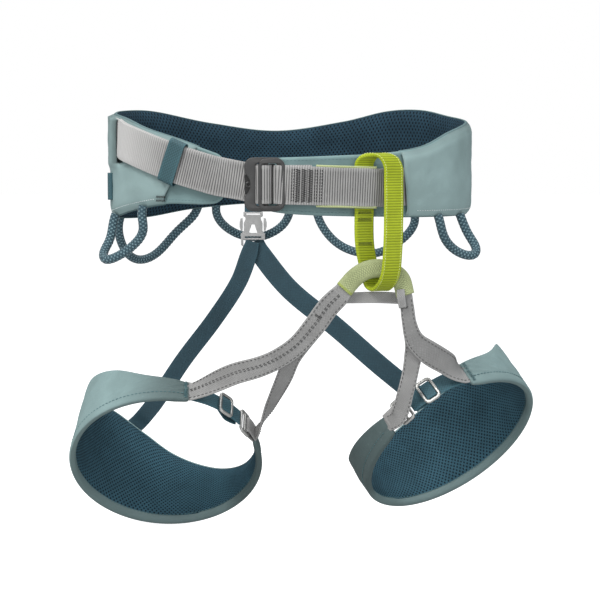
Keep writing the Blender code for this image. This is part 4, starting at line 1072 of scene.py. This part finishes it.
def leg_pad(tag, leg):
    """Padded leg loop, open at the front, with its stitching; the shell is darker at its shaded ends."""
    arcs = np.concatenate([np.linspace(0, LEG_END_ARC, 11),
                           np.arange(LEG_END_ARC + 1.5, PAD_ARC - LEG_END_ARC, 1.5),
                           np.linspace(PAD_ARC - LEG_END_ARC + 0.5, PAD_ARC, 11)])
    rows = []
    for arc, width in zip(arcs, table(leg["width"], arcs)):
        end = math.sqrt(min(min(arc, PAD_ARC - arc) / LEG_END_ARC, 1.0))
        shrink = 0.55 + 0.45 * end
        inward, rise = np.array(pad_profile(width, end)).T
        inward = LEG_RIM + (inward - LEG_RIM) * shrink
        rise = np.where(rise < LEG_RIM, LEG_RIM + (rise - LEG_RIM) * shrink, rise)
        p = leg_point(leg, np.full(len(rise), arc), inward, rise)
        out = leg_out(leg, arc)
        for k in range(len(rise)):
            if k < OUT_N:
                lift = 0.9 * fold(p[k], 30.0, 5.0) + 0.6 * fold(p[k], 10.0, 7.0)
                pull = math.exp(-arc / 22.0) * math.sin(rise[k] * 0.9 + arc * 0.5)
                p[k] = p[k] + out * (lift + pull) * ease((rise[k] - BAND) / 6.0)
            elif OUT_N + RIM_N <= k < OUT_N + RIM_N + IN_N:
                p[k] = p[k] + out * 0.3 * fold(p[k], 16.0, 1.0)
        rows.append(p)
    points = np.array(rows)
    v = run_along(points[len(points) // 2])
    first = OUT_N + RIM_N
    lining = range(first + sum(r < BAND for r in np.linspace(RIM_FOOT, 80 - 1.4, IN_N)), first + IN_N - 1)
    # Painted shade: the shell is painted darker towards both ends of the pad, less on the left pad, and on
    # the rolled lower rim.
    start = (0.9 if tag == "right" else 0.45) * (1 - ease((arcs - 6) / 50))
    finish = 0.95 * ease((arcs - 205) / 50)
    shade = np.tile(np.maximum(start, finish)[:, None], points.shape[1])
    rim = shade[:, OUT_N + 3:first + 4]
    rim[:] = np.maximum(rim, 0.6)
    obj = grid_mesh("leg_pad_" + tag, points, run_along(points[:, 40]), np.append(v, v[-1] + 1),
                    [m_leg_mesh, m_leg_shell], wrap_v=True, caps=True, edge=-shade,
                    slot_of=lambda i, j: int(j not in lining))
    place(obj, "leg_" + tag, "leg_lining_mesh",
          *("leg_" + layer + "_" + tag for layer in ("shell", "foam", "lining", "binding")))
    sew = Thread()
    rises = np.linspace(1.5, at_angle(leg["width"], 2.0) - 1.5, 27)
    sew.tube(leg_point(leg, 1.0 + 2.0 * (np.arange(27) % 2), np.full(27, 0.1), rises), 0.4)
    line = np.arange(3.0, PAD_ARC - 3, 1.5)
    for inward, above, facing, stitch, gap in ((0.25, 1.5, 1, 2.4, 1.5), (5.0, 0.2, -1, 2.2, 1.4)):
        sew.row(leg_point(leg, line, np.full(len(line), inward), np.full(len(line), BAND + above)),
                facing * leg_out(leg, line), stitch, gap, 0.36, 0.1)
    place(sew.build("leg_pad_stitching_" + tag, m_thread_teal), "leg_" + tag, "edge_binding")


for tag, leg in LEGS.items():
    leg_pad(tag, leg)


def leg_spot(leg, arc, inward):
    """The middle of the pad's width, arc degrees along it."""
    rise = PAD_FOOT + (at_angle(leg["width"], max(arc, 0.0)) - PAD_FOOT) * 0.5
    return leg_point(leg, np.array([arc]), np.array([inward]), np.array([rise]))[0]


def leg_strap(kind, tag, spots, slack, thick, columns):
    """Strap from the bridge to a leg pad; spots are (x, y, z, width), with a facing where it isn't FRONT."""
    path = sample([(spot[:3], spot[4] if len(spot) > 4 else FRONT, spot[3]) for spot in spots], 0.9)
    obj = tape("leg_" + kind + "_strap_" + tag, path, thick, m_leg, columns=columns, slack=slack)
    place(obj, "leg_" + tag, "leg_webbing", "leg_" + kind + "_webbing_" + tag)
    return path


def strap_stitching(kind, tag, sew):
    place(sew.build("leg_" + kind + "_stitching_" + tag, m_thread_grey), "leg_" + tag, "leg_webbing")


def front_strap(tag, spots, end_widths, rows, tack_at):
    leg = LEGS[tag]
    spots = spots + [(*leg_spot(leg, -2.0, 2.6), end_widths[0], leg_out(leg, 0.0)),
                     (*leg_spot(leg, 2.5, 2.8), end_widths[1], leg_out(leg, 2.5))]
    path = leg_strap("front", tag, spots, 0.25, 1.8, 10)
    sew = Thread()
    facing = -1 if path["o"][5][1] > 0 else 1
    for share in rows:
        sew.row(*on_strap(path, share, facing, 2.1, 0.06, 0.98), 2.3, 1.9, 0.36, 0.1)
    c, t, a, o = path_spot(path, int(tack_at * len(path["c"])))
    sew.tube(zigzag((c, t, a, -o * np.sign(o[1])), np.linspace(-0.1, 0.95, 15), 6.0, 1.0, 1.2), 0.32)
    strap_stitching("front", tag, sew)


def fork_strap(tag, spots, end_depth, end_width):
    leg = LEGS[tag]
    spots = spots + [(*leg_spot(leg, PAD_ARC - 1.5, end_depth), end_width, leg_out(leg, PAD_ARC))]
    path = leg_strap("fork", tag, spots, 0.2, 1.6, 9)
    sew = Thread()
    for share in (-0.8, 0.8):
        for side in (-1, 1):
            sew.row(*on_strap(path, share, side, 1.9, 0.05, 0.97), 2.2, 1.9, 0.34, 0.1)
    strap_stitching("fork", tag, sew)


front_strap("right", [
    (52.0, -112.5, -99.0, 16), (47.5, -112.3, -104.0, 16.5), (43.0, -111.6, -109.5, 19), (34, -109, -119, 20),
    (22, -105, -136, 20), (7, -100, -154, 18.5), (-10, -94.5, -167, 18.5),
    (-28, -88, -176, 19, (0.05, -0.98, 0.1)), (-52, -80, -184, 20.5, (0.12, -0.9, 0.35))],
    (23, 22), (-0.8, -0.02, 0.14, 0.8), 0.20)
front_strap("left", [
    (102.4, -112.4, -104.6, 10), (103.6, -112.2, -109.0, 11.5), (104, -112, -113, 12),
    (106.5, -109, -132, 13), (112, -104, -149, 17), (125, -97, -161.5, 22),
    (142, -86, -173, 22, (0.05, -0.95, 0.25))],
    (22, 21), (-0.75, 0.8), 0.12)
fork_strap("right", [
    (43, -109.2, -111.5, 16), (33, -106.2, -122.5, 16), (21, -102.2, -139.5, 17), (8, -97.0, -156.5, 17),
    (1, -93.0, -168, 16), (-6, -83, -187, 15, (0.1, -1, 0)), (-16, -66, -210, 13, (0.4, -0.9, 0)),
    (-27, -44, -236, 13, (0.8, -0.5, 0.2))], 2.4, 14)
fork_strap("left", [
    (105.5, -108.5, -118, 11), (107.5, -104.5, -137, 13), (111, -99.0, -154, 15), (111, -95.3, -165, 16),
    (109, -94.5, -179, 15), (105, -94, -197, 15, (-0.1, -1, 0)), (98, -89, -222, 16, (-0.3, -0.9, 0.2))],
    2.0, 15)

# ---- leg adjusters ----
LINK_ARC, LINK_BOW = -56.0, 9.0


def link_point(leg, t, lift=0.0):
    """Point on the bowed line that links a pad's two ends, t from 0 to 1."""
    first, last = leg_spot(leg, 0.0, 3.0), leg_spot(leg, PAD_ARC, 3.0)
    return first + (last - first) * t + leg_out(leg, LINK_ARC / 2) * (LINK_BOW * 4 * t * (1 - t) + lift)


# The tape and tail as (share of the link, lift), the end loop as (run, lift) and its facing (run, lift).
ADJUSTER_TAPE = [(-0.06, -2.6), (0.06, -2.0), (0.25, -0.5), (0.45, 0.0), (0.62, 0.0), (0.70, 0.0)]
ADJUSTER_TAIL = [(0.38, -1.6), (0.45, -4.5), (0.54, -7.0), (0.62, -6.0), (0.68, -3.6)]
END_LOOP = [(12.0, 1.2, 0, 1), (4.0, 2.3, 0, 1), (-0.8, 2.4, 0, 1), (-2.6, 1.8, -1, 1), (-3.3, 0.0, -1, 0),
            (-2.6, -1.8, -1, -1), (-0.8, -2.4, 0, -1), (4.0, -2.3, 0, -1), (12.0, -1.2, 0, -1)]


def adjuster(tag, leg):
    """Elastic strap with a metal frame, its slack tail, and the ladder lock in its webbing end loop."""
    normal = leg_axes(leg)[0]
    out = leg_out(leg, LINK_ARC / 2)
    along = unit(link_point(leg, 1.0) - link_point(leg, 0.0))
    near = 1.0 if np.dot(out, FRONT) > 0 else -1.0
    body = "leg_" + tag

    for kind, line, width, thick, nodes in (("tape", ADJUSTER_TAPE, 17.5, 1.5, ["leg_adjuster_strap_" + tag]),
                                            ("tail", ADJUSTER_TAIL, 15.0, 1.4, [])):
        path = sample([(link_point(leg, t, lift), out, width) for t, lift in line], 0.8)
        place(tape("leg_adjuster_" + kind + "_" + tag, path, thick, m_adjust, columns=8), body,
              "adjuster_elastic", *nodes)

    frame_at = tuple(link_point(leg, 0.45, near * 2.6))
    loops = [rounded_box(16.5, 24.6, 4.6), rounded_box(11.0, 18.8, 2.6)]
    strap_frame = flat_part("leg_strap_frame_" + tag, loops, 2.6, 1.0, m_alloy, frame_at, tuple(along),
                            tuple(normal))
    place(strap_frame, "ring_" + tag, "adjuster_metal", "leg_strap_ring_" + tag)
    patch_at = link_point(leg, 0.45, near * 2.5)
    patch = sample([(patch_at + along * t, out * near, 16.6) for t in (-5.0, -2.0, 2.0, 5.0)], 0.8)
    place(tape("leg_strap_patch_" + tag, patch, 1.5, m_adjust, columns=8, crown=0.9), "ring_" + tag,
          "adjuster_elastic")

    slope = unit(link_point(leg, 0.92) - link_point(leg, 0.70))
    centre = link_point(leg, 0.80)
    loops = [rounded_box(15.0, 27.0, 4.0)]
    loops += [rounded_box(3.8, 21.0, 1.2, shift=shift) for shift in (-3.1, 3.1)]
    lock = flat_part("leg_ladder_lock_plate_" + tag, loops, 2.6, 0.8, m_alloy, tuple(centre), tuple(slope),
                     tuple(normal))
    place(lock, "lock_" + tag, "adjuster_metal", "leg_ladder_lock_" + tag)
    pivot = centre + slope * 6.3
    loop = sample([(pivot + slope * run + out * lift, slope * along_it + out * off_it, 18.0)
                   for run, lift, along_it, off_it in END_LOOP], 0.7)
    place(tape("leg_end_loop_" + tag, loop, 1.3, m_leg, columns=8), body, "leg_webbing",
          "leg_buckle_loop_" + tag)


for tag, leg in LEGS.items():
    adjuster(tag, leg)

# ---- rear clip and risers ----
CLIP_BODY = [(-9.6, 13.8), (9.6, 13.8), (9.6, 9.6), (7.6, 8.4), (7.6, 6.5), (9.3, 3.0), (9.3, -5.5),
             (11.8, -7.6), (11.8, -13.8), (-9.8, -13.8), (-9.8, -20.5), (-12.2, -19.0), (-12.2, -7.6),
             (-9.3, -5.5), (-9.3, 3.0), (-7.6, 6.5), (-7.6, 8.4), (-9.6, 9.6)]
CLIP_FORK = [(-1.4, 1.5), (1.4, 1.5), (4.2, -7.0), (-4.2, -7.0)]
CLIP_SLOTS = [[(-half, high), (half, high), (half, low), (-half, low)]
              for half, high, low in ((6.8, 12.4, 11.0), (8.0, -10.4, -12.0))]
CLIP_ARM = [(-1.2, 6.4), (1.0, 5.6), (1.7, 2.0), (1.7, -2.5), (0.6, -6.4), (-1.2, -6.4), (-1.4, 0.0)]
clip = flat_part("riser_clip_body", [CLIP_BODY, CLIP_FORK] + CLIP_SLOTS, 4.0, 0.6, m_clip, CLIP)
place(clip, "belt", "clip_plastic", "riser_clip")
for tag, side in (("right", -1.0), ("left", 1.0)):
    arm = flat_part("clip_arm_lobe_" + tag, [[(side * x, y) for x, y in CLIP_ARM]], 3.8, 0.6, m_clip,
                    (CLIP[0] + side * 11.7, CLIP[1], CLIP[2] + 1.6))
    place(arm, "arm_" + tag, "clip_arm_plastic", "clip_arm_" + tag)
tab = sample([((CLIP[0], y, z), BACK, 17.0)
              for y, z in ((101.5, -34.0), (100.0, -41.0), (CLIP[1], -48.0))], 0.8)
place(tape("riser_tab_tape", tab, 2.0, m_teal, columns=8), "belt", "accessory_tab", "riser_tab")

# The risers: (x, y, z, width) down to the pads, then (x, y, z, facing) over the pads' edges.
RISER_W, RISER_STEP = 20.0, 1.2
RIGHT_PAD, LEFT_PAD = (-0.545, 0.525, -0.654), (0.31, 0.80, -0.52)
RISERS = {
    "right": ([(-38.5, 98.2, -76, 16), (-42, 98.0, -88, RISER_W), (-53, 98.5, -117, RISER_W),
               (-77, 99.5, -154, RISER_W), (-108, 100.5, -195, RISER_W), (-136, 101.5, -237, RISER_W),
               (-147, 102, -251, RISER_W)],
              [(-153.5, 105.4, -258.5, (-0.25, 0.9, -0.25)), (-159.5, 107.2, -264.3, (-0.45, 0.7, -0.5)),
               (-162.7, 105.0, -269.0, RIGHT_PAD), (-162.5, 98.7, -274.2, RIGHT_PAD)], 0.84),
    "left": ([(-36.5, 101.0, -76, 17), (-31, 101.2, -88, RISER_W), (-1, 102, -125, RISER_W),
              (44, 104.5, -162, RISER_W), (87, 107.5, -200, RISER_W), (118, 110.5, -226, RISER_W)],
             [(127.5, 112.3, -235.0, (0.1, 0.97, -0.2)), (134.6, 112.6, -243.0, (0.25, 0.88, -0.4)),
              (138.7, 108.9, -249.0, LEFT_PAD), (141.9, 104.7, -253.4, LEFT_PAD)], 1.0)}
for tag, (hanging, sewn, narrow) in RISERS.items():
    path = sample([(spot[:3], BACK, spot[3] * narrow) for spot in hanging]
                  + [(spot[:3], spot[3], RISER_W * narrow) for spot in sewn], RISER_STEP)
    high, low = (tuple(metres(path["c"][k])) for k in (len(path["c"]) // 5, -30))
    place(tape("riser_elastic_" + tag, path, 1.4, m_teal, columns=8, slack=0.2),
          ("belt", "leg_" + tag, high, low), "riser_elastic", "riser_" + tag, "riser_end_" + tag)

# ---- belt stitching ----
place(seam.build("belt_tongue_stitching", m_thread_teal), "belt", "shell_fabric")
hem = Thread()
line = np.arange(SHELL_START + 6, 314.0, 1.2)
hem.row(ring(line, 11.4, table(BELT_BOTTOM, line) + 5.6), ring_out(line), 1.6, 1.2, 0.26, 0.1)
small = Thread()
for z in (-21.5, -25.0):
    small.tube([ring(314.5 + 0.28 * n, 13.0, z + (0.9 if n % 2 else -0.9)) for n in range(15)], 0.34)
place(small.build("belt_small_bar_tack", m_thread_dark), "belt", "shell_fabric")
place(hem.build("belt_hem_stitching", m_thread_pale), "belt", "shell_fabric")

# ---- floor, light and camera ----
FLOOR_Z, FLOOR_HALF = -0.209, 6
CAMERA_PITCH, LENS, SENSOR = 84.0, 126.3, 36.0
SKY, SKY_LIGHT = (0.93, 0.965, 1.0, 1.0), 0.30
WHITE = (1.0, 1.0, 1.0, 1.0)


def studio_world():
    """Soft pale light from all round, seen as plain white by the camera."""
    world = bpy.data.worlds.new("studio")
    bpy.context.scene.world = world
    world.use_nodes = True
    tree = world.node_tree
    sky = tree.nodes["Background"]
    white = tree.nodes.new("ShaderNodeBackground")
    seen = tree.nodes.new("ShaderNodeLightPath")
    either = tree.nodes.new("ShaderNodeMixShader")
    for node, colour, strength in ((sky, SKY, SKY_LIGHT), (white, WHITE, 1.0)):
        node.inputs[0].default_value = colour
        node.inputs[1].default_value = strength
    for source, target in ((seen.outputs["Is Camera Ray"], either.inputs[0]),
                           (sky.outputs[0], either.inputs[1]), (white.outputs[0], either.inputs[2]),
                           (either.outputs[0], tree.nodes["World Output"].inputs[0])):
        tree.links.new(source, target)


def studio_floor():
    """Pale floor that glows a little for the camera only."""
    corners = [(x * FLOOR_HALF, y * FLOOR_HALF, FLOOR_Z) for x, y in ((-1, -1), (1, -1), (1, 1), (-1, 1))]
    mesh = bpy.data.meshes.new("studio_floor")
    mesh.from_pydata(corners, [], [(0, 1, 2, 3)])
    s = Shader("studio_floor_pale", 0.9)
    s.bsdf.inputs["Emission Color"].default_value = WHITE
    seen = s.node("ShaderNodeLightPath").outputs["Is Camera Ray"]
    s.link(s.times(seen, 0.9), s.bsdf.inputs["Emission Strength"])
    mesh.materials.append(s.done(s.mix(s.noise(900.0), (0.50, 0.505, 0.51), (0.54, 0.54, 0.54))))
    add_object("studio_floor", mesh)


def lamp(name, where, size, power, colour=(1, 1, 1)):
    """Square area lamp aimed at the frame's origin."""
    data = bpy.data.lights.new(name, "AREA")
    data.shape = "SQUARE"
    data.size = size
    data.energy = power
    data.color = colour
    obj = add_object(name, data)
    obj.location = where
    obj.rotation_euler = (-Vector(where)).to_track_quat("-Z", "Y").to_euler()


studio_world()
studio_floor()
lamp("key", (-0.9, -1.2, 1.7), 0.9, 36.0, (1.0, 0.99, 0.97))
lamp("fill", (1.4, -1.3, 0.9), 1.2, 12.0, (0.97, 0.99, 1.0))
lamp("top", (0.1, 0.3, 1.8), 1.2, 16.0)
lamp("front", (-0.3, -2.2, 0.35), 1.3, 11.0)

camera_data = bpy.data.cameras.new("camera")
camera_data.lens = LENS
camera_data.sensor_width = SENSOR
camera = add_object("camera", camera_data)
camera.location = metres((8.55, -1989.04, 84.88))
camera.rotation_euler = (math.radians(CAMERA_PITCH), 0.0, 0.0)
bpy.context.scene.camera = camera
bpy.context.scene.view_settings.view_transform = "Standard"
